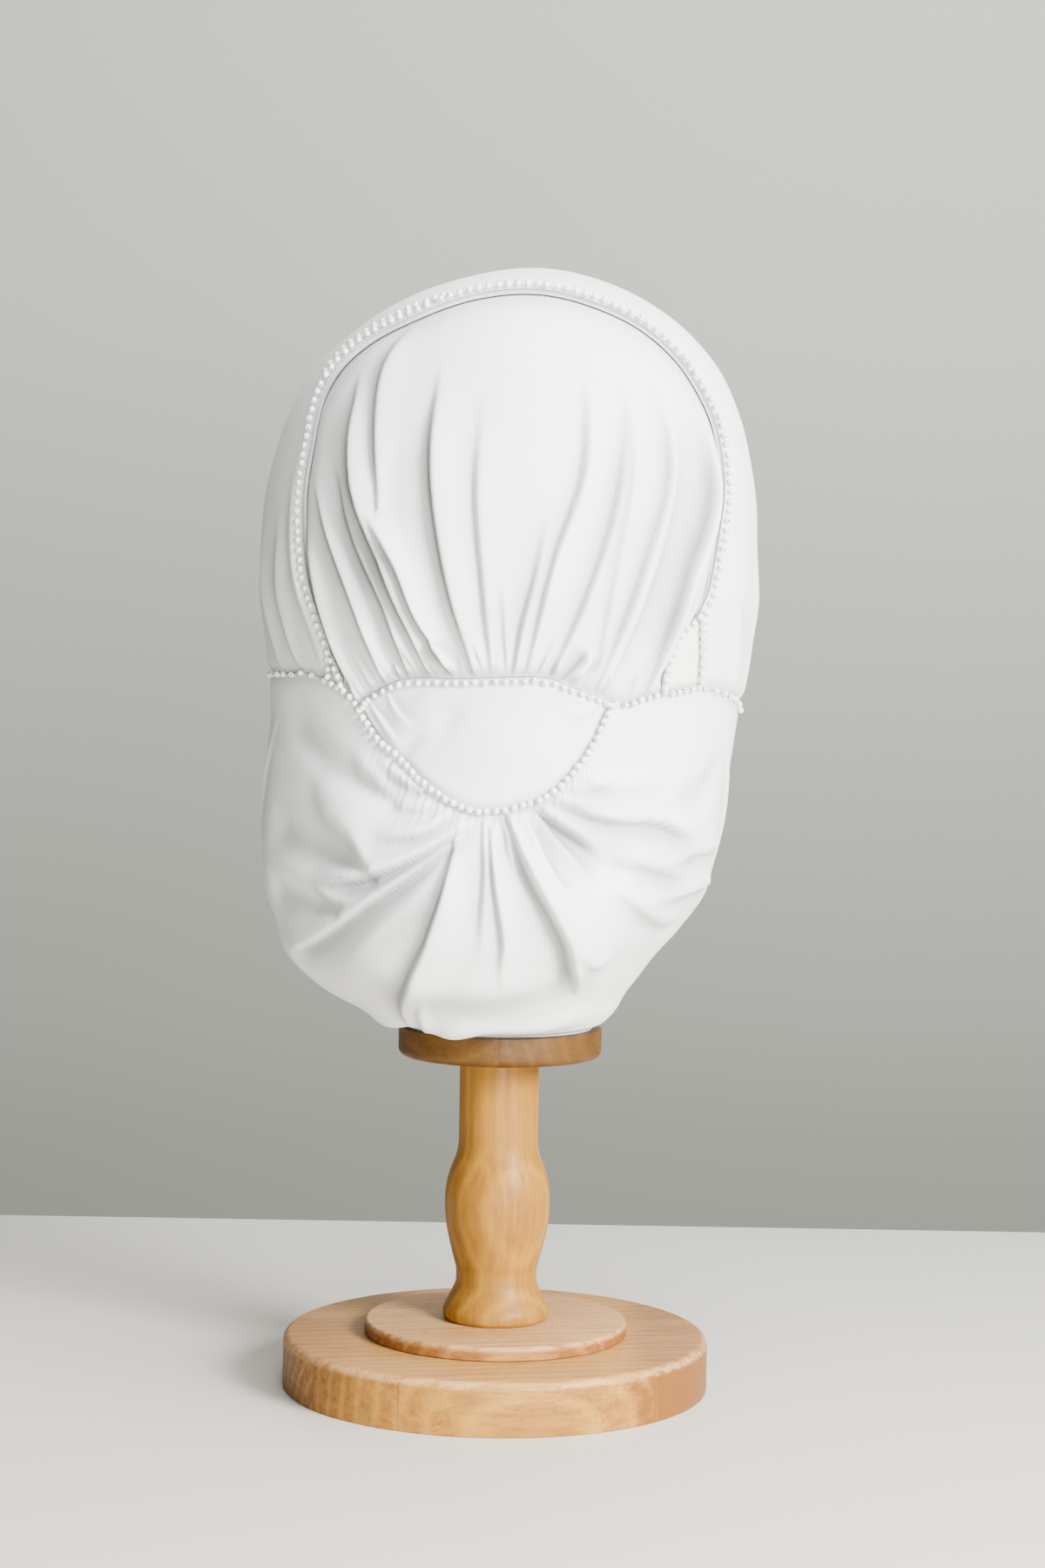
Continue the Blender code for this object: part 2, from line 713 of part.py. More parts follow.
def bag_top():
    """Return the bag's top edge once round, from the front's middle past the left side."""
    left_foot, right_foot = band_feet()
    seam_left = seam(BAG_SEAM_LEFT, BAG_SEAM_LEFT_STEPS)
    seam_right = seam(BAG_SEAM_RIGHT, BAG_SEAM_RIGHT_STEPS)
    right_chin = round_seam(BAND_FOOT_RIGHT[-1:] + CHIN_EDGE[::-1], CHIN_STEPS)
    left_rows = tuple((-turn, height) for turn, height in CHIN_EDGE) + BAND_FOOT_LEFT[:1]
    left_chin = round_seam(left_rows, CHIN_STEPS)
    left_base = straight(left_foot[0], seam_left[0], GUSSET_BASE_STEPS)
    right_base = straight(seam_right[-1], right_foot[0], GUSSET_BASE_STEPS)
    line = join(left_chin, left_foot[::-1], left_base, seam_left, seam(YOKE_FOOT, YOKE_STEPS),
                seam_right, right_base, right_foot, right_chin)
    return line[:-1]


def build_bag(cloth):
    """Build the puffed neck bag, a ring from its top seam to the hem on the disc."""
    top = bag_top()
    top_turn = np.degrees(np.unwrap(np.radians(azimuth_of(top))))
    top_turn += -180.0 - top_turn[0]
    top_height = top[:, 2]
    hem_turn = np.linspace(-180.0, 180.0, len(top), endpoint=False)
    part = np.linspace(0.0, 1.0, BAG_ROWS)[None, :]
    turn = top_turn[:, None] + (hem_turn - top_turn)[:, None] * part
    fall = 1.0 - (1.0 - part) ** 1.35
    height = top_height[:, None] + (FORM_ROWS[-1][0] - top_height)[:, None] * fall
    grid = inset(on_azimuth(turn, height), ring=True)
    grid = drape(grid, np.radians(turn) * BAG_RADIUS, BAG_FOLDS, ring=True)
    grid[:, -1, 2] = DISC_TOP + PIECE_GAP
    return cloth_wall("neck_bag", grid, cloth, ring=True)


def main():
    """Build the stand and every panel of the turban."""
    clear_scene()
    wood = make_material("wood", RUBBERWOOD, 0.42)
    cloth = make_material("cloth", SATIN_WHITE, 0.55)
    ivory = make_material("gusset_cloth", GUSSET_IVORY, 0.55)
    build_stand(wood)
    build_crown(cloth)
    build_band(cloth)
    build_yoke(cloth)
    build_gusset("gusset_right", GUSSET_RIGHT_INNER, GUSSET_RIGHT_OUTER,
                 GUSSET_RIGHT_STEPS, ivory)
    build_gusset("gusset_left", GUSSET_LEFT_INNER, GUSSET_LEFT_OUTER,
                 BAG_SEAM_LEFT_STEPS, ivory)
    build_bag(cloth)


main()
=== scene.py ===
"""Looks of a white pleated bridal turban that rests on a turned wooden stand.

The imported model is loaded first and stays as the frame. Every cloth panel is made again
on the same form, much finer and with its creases, and stands for its plain node.
Seed beads and stitches lie on the seams, and the stand is turned again with more sides.

All sizes are millimetres until a mesh is made. The gathered back looks to -Y and the face
opening to +Y. +X is the right-hand side from behind.
"""

import logging
import math
from dataclasses import dataclass
from enum import Enum

import bpy
import numpy as np
from mathutils import Matrix


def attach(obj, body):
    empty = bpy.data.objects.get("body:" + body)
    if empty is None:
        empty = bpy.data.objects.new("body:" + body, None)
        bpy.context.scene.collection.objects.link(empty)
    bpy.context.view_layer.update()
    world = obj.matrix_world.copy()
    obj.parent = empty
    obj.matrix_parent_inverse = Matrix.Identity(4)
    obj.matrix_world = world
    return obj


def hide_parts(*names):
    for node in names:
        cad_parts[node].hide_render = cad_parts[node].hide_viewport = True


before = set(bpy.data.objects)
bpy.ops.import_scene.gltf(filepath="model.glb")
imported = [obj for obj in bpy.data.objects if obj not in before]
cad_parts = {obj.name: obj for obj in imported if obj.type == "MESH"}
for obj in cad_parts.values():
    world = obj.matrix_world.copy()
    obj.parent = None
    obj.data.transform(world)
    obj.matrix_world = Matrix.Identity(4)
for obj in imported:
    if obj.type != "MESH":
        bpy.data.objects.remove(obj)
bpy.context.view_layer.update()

LOG = logging.getLogger("turban")
MM = 0.001
BODY = "root"
FINER = 8  # steps of a seam here for one of the plain solid's
Array = np.ndarray
Rows = tuple[tuple[float, ...], ...]

# Form: half width, shift of the middle to +X, depth behind and before the axis
FORM_ROWS: Rows = (
    # height, half_width, shift, back, front
    (450.0, 0.0, 6.5, 0.0, 0.0),
    (446.0, 26.0, 5.4, 26.0, 26.0),
    (438.0, 47.0, 4.0, 46.0, 48.0),
    (424.0, 67.5, 3.4, 66.0, 69.0),
    (405.0, 83.8, 2.2, 79.5, 86.0),
    (380.0, 93.6, 1.5, 88.5, 96.5),
    (350.0, 98.9, 0.6, 93.0, 102.0),
    (322.0, 99.7, 0.2, 93.0, 103.0),
    (299.0, 97.0, 0.3, 89.0, 102.0),
    (284.0, 95.3, 0.4, 86.5, 100.0),
    (270.0, 93.6, -0.6, 85.5, 97.0),
    (250.0, 93.0, -2.8, 86.5, 91.0),
    (225.0, 91.8, -5.0, 91.0, 80.0),
    (203.0, 89.0, -6.8, 94.0, 69.0),
    (187.0, 81.0, -9.5, 91.0, 61.0),
    (174.0, 73.2, -12.9, 83.0, 54.5),
    (162.0, 62.5, -11.0, 69.0, 48.5),
    (152.0, 50.0, -4.5, 54.0, 43.0),
    (145.4, 38.0, 0.0, 38.0, 38.0),
)

# Seams seen from behind
BAND_SEAM: Rows = (
    # x, height
    (-66.8, 293.0), (-73.5, 311.0), (-78.5, 330.0), (-79.8, 350.0), (-77.5, 374.0),
    (-72.0, 398.0), (-57.0, 415.0), (-36.0, 425.5), (-12.0, 434.0), (12.0, 436.0),
    (36.0, 430.0), (56.0, 419.5), (71.0, 404.0), (81.0, 385.0), (84.5, 364.0),
    (82.5, 342.0), (79.0, 322.0), (74.6, 311.0),
)
GUSSET_LEFT_INNER: Rows = ((-66.8, 293.0), (-64.0, 287.0), (-61.6, 280.6))
GUSSET_LEFT_OUTER: Rows = ((-66.8, 293.0), (-67.2, 288.0), (-66.8, 283.4))
GUSSET_RIGHT_INNER: Rows = ((74.6, 311.0), (67.0, 303.0), (62.5, 293.0), (60.0, 281.0))
GUSSET_RIGHT_OUTER: Rows = ((74.6, 311.0), (75.4, 297.0), (75.2, 283.6))
YOKE_TOP: Rows = (
    # x, height
    (-55.5, 274.0), (-52.0, 277.8), (-45.5, 281.8), (-35.5, 285.0),
    (-16.0, 285.2), (13.0, 286.2), (26.5, 282.4), (40.6, 277.6),
)
YOKE_FOOT: Rows = (
    # x, height
    (-55.5, 274.0), (-47.0, 262.3), (-38.5, 255.0), (-28.5, 245.5), (-12.0, 236.5),
    (8.0, 238.6), (21.0, 245.6), (32.5, 260.0), (40.6, 277.6),
)
BAG_SEAM_LEFT: Rows = ((-61.6, 280.6), (-58.4, 278.0), (-55.5, 274.0))
BAG_SEAM_RIGHT: Rows = ((40.6, 277.6), (47.0, 277.0), (54.5, 279.6), (60.0, 281.0))

# Seams given by the angle round from the back's middle to +X, in degrees
CHIN_EDGE: Rows = ((180.0, 209.6), (159.0, 215.6), (146.0, 231.0), (137.0, 254.0))
BAND_FOOT_LEFT: Rows = (
    # azimuth, height
    (-132.8, 285.0), (-100.0, 286.2), (-66.0, 286.0), (-57.0, 286.2), (-47.2, 283.4),
)
BAND_FOOT_RIGHT: Rows = (
    # azimuth, height
    (54.0, 283.6), (68.0, 280.6), (88.0, 276.2), (115.0, 275.6), (133.4, 275.0),
)


class Lap(Enum):
    """The side of a crease that lies on top, seen from outside and from foot to tip."""

    RIGHT = 1.0
    LEFT = -1.0
    NONE = 0.0


# Creases of the crown in x and height, from the yoke up
CROWN_FOLDS: tuple = (
    # foot_x, foot_z, low_x, low_z, high_x, high_z, tip_x, tip_z,
    #     depth, over, under, lip, tail, lap
    (-57, 278, -67, 299, -74, 321, -80, 350, 3.6, 5.0, 4.5, 0.8, 0.3, Lap.RIGHT),
    (-46, 284, -56, 308, -66, 332, -76, 362, 4.8, 6.0, 5.0, 0.5, 0.3, Lap.RIGHT),
    (-36, 285, -46, 311, -58, 336, -68, 368, 5.0, 6.0, 5.0, 0.5, 0.3, Lap.RIGHT),
    (-28, 285, -45, 322, -59, 360, -58, 404, 5.6, 9.0, 8.5, 0.5, 0.25, Lap.RIGHT),
    (-21, 288, -33, 307, -42, 328, -54, 348, 4.2, 6.0, 5.5, 0.5, 0.30, Lap.RIGHT),
    (-48, 350, -50, 378, -48, 402, -37, 424, 3.4, 9.0, 6.0, 0.8, 0.35, Lap.RIGHT),
    (-11, 285, -23, 324, -29, 365, -26, 407, 5.0, 10.0, 5.5, 0.5, 0.35, Lap.RIGHT),
    (-5, 287, -9, 321, -12, 356, -10, 396, 2.6, 8.0, 4.0, 0.7, 0.4, Lap.RIGHT),
    (1, 286, 0, 295, -1, 308, -2, 326, 1.5, 3.0, 2.0, 0.5, 0.5, Lap.RIGHT),
    (3, 286, 6, 305, 11, 326, 15, 352, 2.8, 6.0, 4.0, 0.6, 0.5, Lap.RIGHT),
    (8, 288, 17, 328, 28, 364, 28, 406, 3.4, 8.0, 4.0, 0.5, 0.35, Lap.RIGHT),
    (17, 286, 31, 319, 41, 354, 44, 394, 3.4, 7.5, 4.5, 0.5, 0.35, Lap.RIGHT),
    (34, 286, 41, 330, 46, 368, 41, 407, 2.4, 5.0, 4.0, 0.9, 0.4, Lap.RIGHT),
    (35, 283, 50, 323, 61, 364, 54, 405, 3.6, 6.0, 4.5, 0.5, 0.35, Lap.RIGHT),
    (38, 281, 51, 312, 62, 344, 66, 378, 2.8, 5.0, 6.0, 1.0, 0.5, Lap.LEFT),
    (53, 279, 68, 317, 79, 357, 72, 400, 5.0, 6.0, 12.0, 0.5, 0.35, Lap.RIGHT),
)

# Short gathers at the yoke's upper edge, in the same columns
CROWN_GATHERS: tuple = (
    (-17.5, 286, -19.0, 291, -22.5, 296, -28.5, 300, 3.0, 2.6, 1.8, 0.35, 0.3, Lap.LEFT),
    (-20.0, 286, -23.0, 291, -27.0, 296, -29.5, 300, 3.2, 2.6, 1.8, 0.35, 0.3, Lap.RIGHT),
    (-39.5, 284, -40.3, 286, -41.0, 288, -42.5, 291, 2.4, 2.2, 1.6, 0.35, 0.5, Lap.RIGHT),
    (17.5, 285, 18.0, 288, 19.0, 291, 21.0, 295, 2.4, 2.2, 1.8, 0.40, 0.5, Lap.RIGHT),
    (20.0, 284, 24.5, 288, 29.0, 293, 32.0, 297, 4.2, 3.6, 3.6, 0.35, 0.25, Lap.RIGHT),
    (24.0, 283, 28.5, 287, 31.5, 291, 33.5, 296, 2.8, 2.8, 1.8, 0.35, 0.3, Lap.LEFT),
    (36.4, 281, 37.6, 283, 38.8, 285, 40.5, 289, 2.2, 2.2, 1.6, 0.35, 0.5, Lap.RIGHT),
    (46.0, 278, 48.0, 282, 50.0, 287, 52.0, 293, 1.8, 2.6, 2.0, 0.50, 0.6, Lap.RIGHT),
    (-33.0, 286, -35.0, 290, -38.0, 295, -41.0, 301, 2.0, 2.4, 2.0, 0.45, 0.6, Lap.RIGHT),
    (-8.0, 286, -9.0, 291, -11.0, 296, -13.0, 303, 1.6, 2.0, 1.6, 0.40, 0.6, Lap.RIGHT),
    (12.0, 286, 14.0, 291, 17.0, 297, 20.0, 305, 1.6, 2.0, 1.6, 0.40, 0.6, Lap.RIGHT),
    (29.0, 282, 33.0, 289, 37.0, 296, 40.0, 306, 1.8, 2.2, 1.8, 0.40, 0.6, Lap.RIGHT),
    (-25.0, 286, -27.0, 289, -30.0, 293, -33.0, 297, 1.6, 1.8, 1.5, 0.40, 0.6, Lap.RIGHT),
)

# Creases of the bag, with the distance round the back in place of x
BAG_FOLDS: tuple = (
    # foot_x, foot_z, low_x, low_z, high_x, high_z, tip_x, tip_z,
    #     depth, over, under, lip, tail, lap
    (-15, 236, -23, 228, -33, 225, -47, 223, 3.4, 5.5, 4.5, 0.5, 0.50, Lap.RIGHT),
    (-12, 228, -30, 216, -50, 209, -76, 207, 5.6, 9.0, 7.0, 0.5, 0.40, Lap.RIGHT),
    (-12, 224, -40, 202, -71, 184, -110, 173, 6.4, 8.0, 9.0, 0.5, 0.30, Lap.RIGHT),
    (-15, 219, -25, 201, -41, 185, -60, 170, 2.2, 7.0, 6.0, 1.8, 0.50, Lap.RIGHT),
    (-13, 222, -17, 196, -25, 172, -54, 151, 5.4, 10.0, 6.5, 0.6, 0.10, Lap.LEFT),
    (-24, 163, -34, 157, -42, 153, -56, 149, 2.4, 4.0, 2.6, 0.8, 0.25, Lap.LEFT),
    (-3, 231, -1, 214, 0, 197, 3, 176, 2.6, 6.0, 3.5, 0.8, 0.50, Lap.LEFT),
    (0, 229, 4, 206, 10, 187, 16, 166, 3.4, 6.0, 3.6, 0.6, 0.40, Lap.LEFT),
    (-45, 213, -57, 224, -72, 232, -85, 248, 4.6, 11.0, 8.0, 2.4, 0.50, Lap.RIGHT),
    (-51, 200, -59, 200, -67, 202, -77, 206, 2.8, 4.0, 3.5, 0.9, 0.50, Lap.RIGHT),
    (-58, 197, -76, 199, -92, 201, -114, 203, 3.0, 6.0, 5.5, 1.0, 0.25, Lap.NONE),
    (-45, 212, -66, 218, -89, 222, -116, 230, 3.2, 8.0, 8.5, 1.0, 0.25, Lap.NONE),
    (-40, 238, -67, 249, -90, 262, -112, 276, 2.6, 8.0, 7.0, 1.0, 0.30, Lap.NONE),
    (-22, 241, -32, 244, -41, 248, -53, 256, 2.8, 5.0, 4.5, 0.9, 0.50, Lap.RIGHT),
    (-42, 241, -50, 246, -57, 250, -67, 258, 2.2, 6.0, 6.0, 1.8, 0.50, Lap.RIGHT),
    (-21, 238, -27, 236, -34, 236, -45, 238, 2.2, 4.0, 3.0, 0.9, 0.50, Lap.RIGHT),
    (15, 239, 25, 232, 35, 226, 48, 217, 5.4, 6.0, 5.5, 0.45, 0.40, Lap.LEFT),
    (17, 237, 26, 227, 35, 218, 47, 207, 3.0, 5.0, 5.0, 0.7, 0.40, Lap.RIGHT),
    (13, 236, 19, 225, 25, 214, 35, 202, 3.6, 5.0, 4.5, 0.5, 0.40, Lap.RIGHT),
    (6, 234, 18, 209, 35, 187, 59, 162, 6.6, 11.0, 8.5, 0.45, 0.22, Lap.LEFT),
    (3, 235, 6, 228, 8, 220, 11, 211, 2.2, 3.0, 2.5, 0.5, 0.50, Lap.LEFT),
    (20, 241, 46, 233, 73, 231, 104, 219, 5.6, 9.0, 7.0, 0.5, 0.30, Lap.LEFT),
    (23, 242, 28, 240, 35, 239, 45, 240, 2.4, 3.0, 2.4, 0.4, 0.50, Lap.LEFT),
    (26, 246, 34, 244, 42, 245, 54, 249, 2.6, 4.0, 3.2, 0.5, 0.50, Lap.LEFT),
    (31, 250, 45, 244, 62, 245, 84, 249, 2.2, 6.0, 5.0, 1.5, 0.50, Lap.LEFT),
    (74, 238, 90, 240, 103, 245, 120, 258, 2.8, 8.0, 6.5, 1.5, 0.30, Lap.NONE),
    (78, 216, 94, 218, 109, 219, 128, 219, 3.4, 6.0, 4.5, 0.8, 0.12, Lap.LEFT),
    (54, 217, 69, 214, 83, 211, 99, 207, 4.2, 9.0, 6.0, 1.2, 0.40, Lap.LEFT),
    (75, 202, 92, 203, 108, 204, 128, 205, 3.6, 6.0, 4.5, 0.9, 0.15, Lap.LEFT),
    (56, 203, 71, 196, 86, 192, 106, 190, 3.4, 9.0, 7.0, 1.8, 0.35, Lap.LEFT),
    (44, 183, 53, 179, 60, 178, 70, 180, 2.8, 6.0, 6.0, 1.8, 0.50, Lap.LEFT),
)

# Folds of the bag that the camera doesn't show, round the sides and the front
BAG_FAR_FOLDS: tuple = (
    (118, 262, 126, 246, 138, 226, 152, 196, 2.2, 8.0, 6.0, 1.4, 0.50, Lap.LEFT),
    (150, 250, 158, 232, 168, 212, 180, 186, 2.4, 9.0, 6.0, 1.4, 0.50, Lap.LEFT),
    (188, 236, 196, 222, 204, 204, 208, 180, 2.2, 9.0, 6.0, 1.4, 0.50, Lap.LEFT),
    (226, 224, 230, 210, 232, 196, 230, 176, 2.0, 9.0, 6.0, 1.4, 0.50, Lap.LEFT),
    (262, 216, 263, 204, 262, 190, 258, 172, 2.0, 9.0, 6.0, 1.4, 0.50, Lap.LEFT),
    (-118, 264, -126, 248, -138, 228, -152, 198, 2.2, 8.0, 6.0, 1.4, 0.50, Lap.RIGHT),
    (-150, 250, -158, 232, -168, 212, -180, 186, 2.4, 9.0, 6.0, 1.4, 0.50, Lap.RIGHT),
    (-188, 236, -196, 222, -204, 204, -208, 180, 2.2, 9.0, 6.0, 1.4, 0.50, Lap.RIGHT),
    (-226, 224, -230, 210, -232, 196, -230, 176, 2.0, 9.0, 6.0, 1.4, 0.50, Lap.RIGHT),
    (-262, 216, -263, 204, -262, 190, -258, 172, 2.0, 9.0, 6.0, 1.4, 0.50, Lap.RIGHT),
)

# Soft creases of the band, with the distance round the back in place of x
BAND_FOLDS: tuple = (
    # foot_x, foot_z, low_x, low_z, high_x, high_z, tip_x, tip_z,
    #     depth, over, under, lip, tail, lap
    (-80, 286, -87, 311, -95, 337, -98, 372, 2.8, 8.0, 6.0, 3.0, 0.40, Lap.RIGHT),
    (-94, 286, -101, 300, -106, 322, -108, 352, 3.2, 7.0, 5.0, 2.0, 0.40, Lap.RIGHT),
    (-112, 288, -119, 304, -126, 326, -128, 352, 2.6, 8.0, 6.0, 2.0, 0.50, Lap.RIGHT),
    (115, 279, 116, 292, 112, 306, 106, 322, 2.4, 7.0, 5.0, 1.6, 0.50, Lap.LEFT),
    (134, 277, 138, 296, 138, 320, 132, 350, 2.2, 9.0, 6.0, 2.0, 0.50, Lap.LEFT),
)

# Broad rises and hollows: place on the form by distance round and height, the turn of
# the long side from level, half lengths along and across, and the height
CROWN_SWELLS: Rows = (
    # arc, height, turn, along, across, lift
    (67.0, 335.0, 75.0, 42.0, 8.0, -3.4),
    (78.0, 352.0, 88.0, 40.0, 6.0, -2.2),
    (-66.0, 340.0, 110.0, 40.0, 7.0, -1.4),
    (4.0, 372.0, 90.0, 40.0, 16.0, 0.8),
)
BAG_SWELLS: Rows = (
    # arc, height, turn, along, across, lift
    (-58.0, 238.0, -35.0, 22.0, 9.0, 2.6),
    (-94.0, 212.0, 0.0, 26.0, 8.0, 2.2),
    (-30.0, 226.0, 20.0, 18.0, 6.0, 1.4),
    (-86.0, 190.0, 20.0, 28.0, 8.0, 1.8),
    (-46.0, 178.0, 40.0, 24.0, 10.0, 1.6),
    (66.0, 222.0, -8.0, 26.0, 6.0, 2.0),
    (98.0, 232.0, -20.0, 18.0, 8.0, 1.8),
    (46.0, 214.0, 30.0, 11.0, 7.0, -2.6),
    (72.0, 204.0, -6.0, 22.0, 5.0, 1.8),
    (44.0, 190.0, -45.0, 26.0, 8.0, 1.8),
    (6.0, 176.0, 80.0, 24.0, 9.0, 1.0),
    (-26.0, 151.0, 0.0, 11.0, 6.5, 5.2),
    (-70.0, 153.0, 10.0, 13.0, 6.5, 4.4),
    (20.0, 151.0, 0.0, 34.0, 5.5, 2.4),
    (0.0, 169.0, 0.0, 62.0, 12.0, 3.6),
)
BAND_SWELLS: Rows = (
    # arc, height, turn, along, across, lift
    (-88.0, 345.0, 92.0, 46.0, 7.0, 1.8),
    (108.0, 340.0, 90.0, 44.0, 14.0, 0.9),
    (-144.0, 434.0, 90.0, 44.0, 34.0, -2.2),
    (-144.0, 448.0, 90.0, 40.0, 34.0, -1.0),
)


def smooth_curve(knots: Array, values: Array, x: Array) -> Array:
    """Interpolate by a cubic whose slopes keep each rise or fall, so without overshoot.

    Args:
        knots: Rising places.
        values: A value at each place.
        x: The places wanted.

    Returns:
        The values there.
    """
    step = np.diff(knots)
    rise = np.diff(values) / step
    slope = np.zeros_like(values)
    before = 2.0 * step[1:] + step[:-1]
    after = step[1:] + 2.0 * step[:-1]
    same_way = rise[:-1] * rise[1:] > 0.0
    safe_low = np.where(same_way, rise[:-1], 1.0)
    safe_high = np.where(same_way, rise[1:], 1.0)
    blend = (before + after) / (before / safe_low + after / safe_high)
    slope[1:-1] = np.where(same_way, blend, 0.0)
    slope[0] = rise[0]
    slope[-1] = rise[-1]
    x = np.clip(x, knots[0], knots[-1])
    row = np.clip(np.searchsorted(knots, x) - 1, 0, len(knots) - 2)
    t = (x - knots[row]) / step[row]
    low = values[row] * (1.0 + 2.0 * t) * (1.0 - t) ** 2
    high = values[row + 1] * t * t * (3.0 - 2.0 * t)
    lean = slope[row] * t * (1.0 - t) ** 2 - slope[row + 1] * t * t * (1.0 - t)
    return low + high + lean * step[row]


def ease(x: Array) -> Array:
    """Return a smooth step from 0 to 1 as x goes from 0 to 1: 3x² − 2x³."""
    x = np.clip(x, 0.0, 1.0)
    return x * x * (3.0 - 2.0 * x)


def unit(ways: Array) -> Array:
    """Return the vectors at length one."""
    return ways / np.maximum(np.linalg.norm(ways, axis=-1, keepdims=True), 1e-9)


def run_length(line: Array) -> Array:
    """Return the length along a line up to each of its points."""
    return np.concatenate([[0.0], np.cumsum(np.linalg.norm(np.diff(line, axis=0), axis=1))])


def row_length(grid: Array) -> Array:
    """Return the length along each row of a grid up to each of its points."""
    steps = np.linalg.norm(np.diff(grid, axis=1), axis=2)
    return np.concatenate([np.zeros((len(grid), 1)), np.cumsum(steps, 1)], 1)


def sample(line: Array, known: Array, wanted: Array) -> Array:
    """Return a line's points at wanted places, straight between the known ones."""
    return np.stack([np.interp(wanted, known, values) for values in line.T], -1)


def tube_quads(index: Array) -> Array:
    """Return the quads between the rings of a tube, given a row of point numbers a ring."""
    after = np.roll(index, -1, 1)
    return np.stack([index[:-1], after[:-1], after[1:], index[1:]], -1).reshape(-1, 4)


def evenly(points: Array, count: int) -> Array:
    """Resample a smooth curve through the points to even steps.

    The curve between two points is a cubic whose slopes come from the points beside them.

    Args:
        points: Points of the curve, a row each.
        count: How many points are wanted.

    Returns:
        The new points.
    """
    points = np.asarray(points, dtype=float)
    padded = np.vstack([2 * points[0] - points[1], points, 2 * points[-1] - points[-2]])
    t = np.linspace(0.0, 1.0, 33)[:-1, None]
    a, b, c, d = (padded[k:k + len(points) - 1, None] for k in range(4))
    curve = 2 * b + (c - a) * t + (2 * a - 5 * b + 4 * c - d) * t ** 2
    curve = 0.5 * (curve + (3 * b - a - 3 * c + d) * t ** 3)
    line = np.vstack([curve.reshape(-1, points.shape[1]), points[-1:]])
    length = run_length(line)
    even = np.linspace(0.0, length[-1], count)
    return sample(line, length, even)


def join(*lines: Array) -> Array:
    """Join lines end to end, each without the point that it shares with the one before."""
    return np.vstack([lines[0]] + [line[1:] for line in lines[1:]])


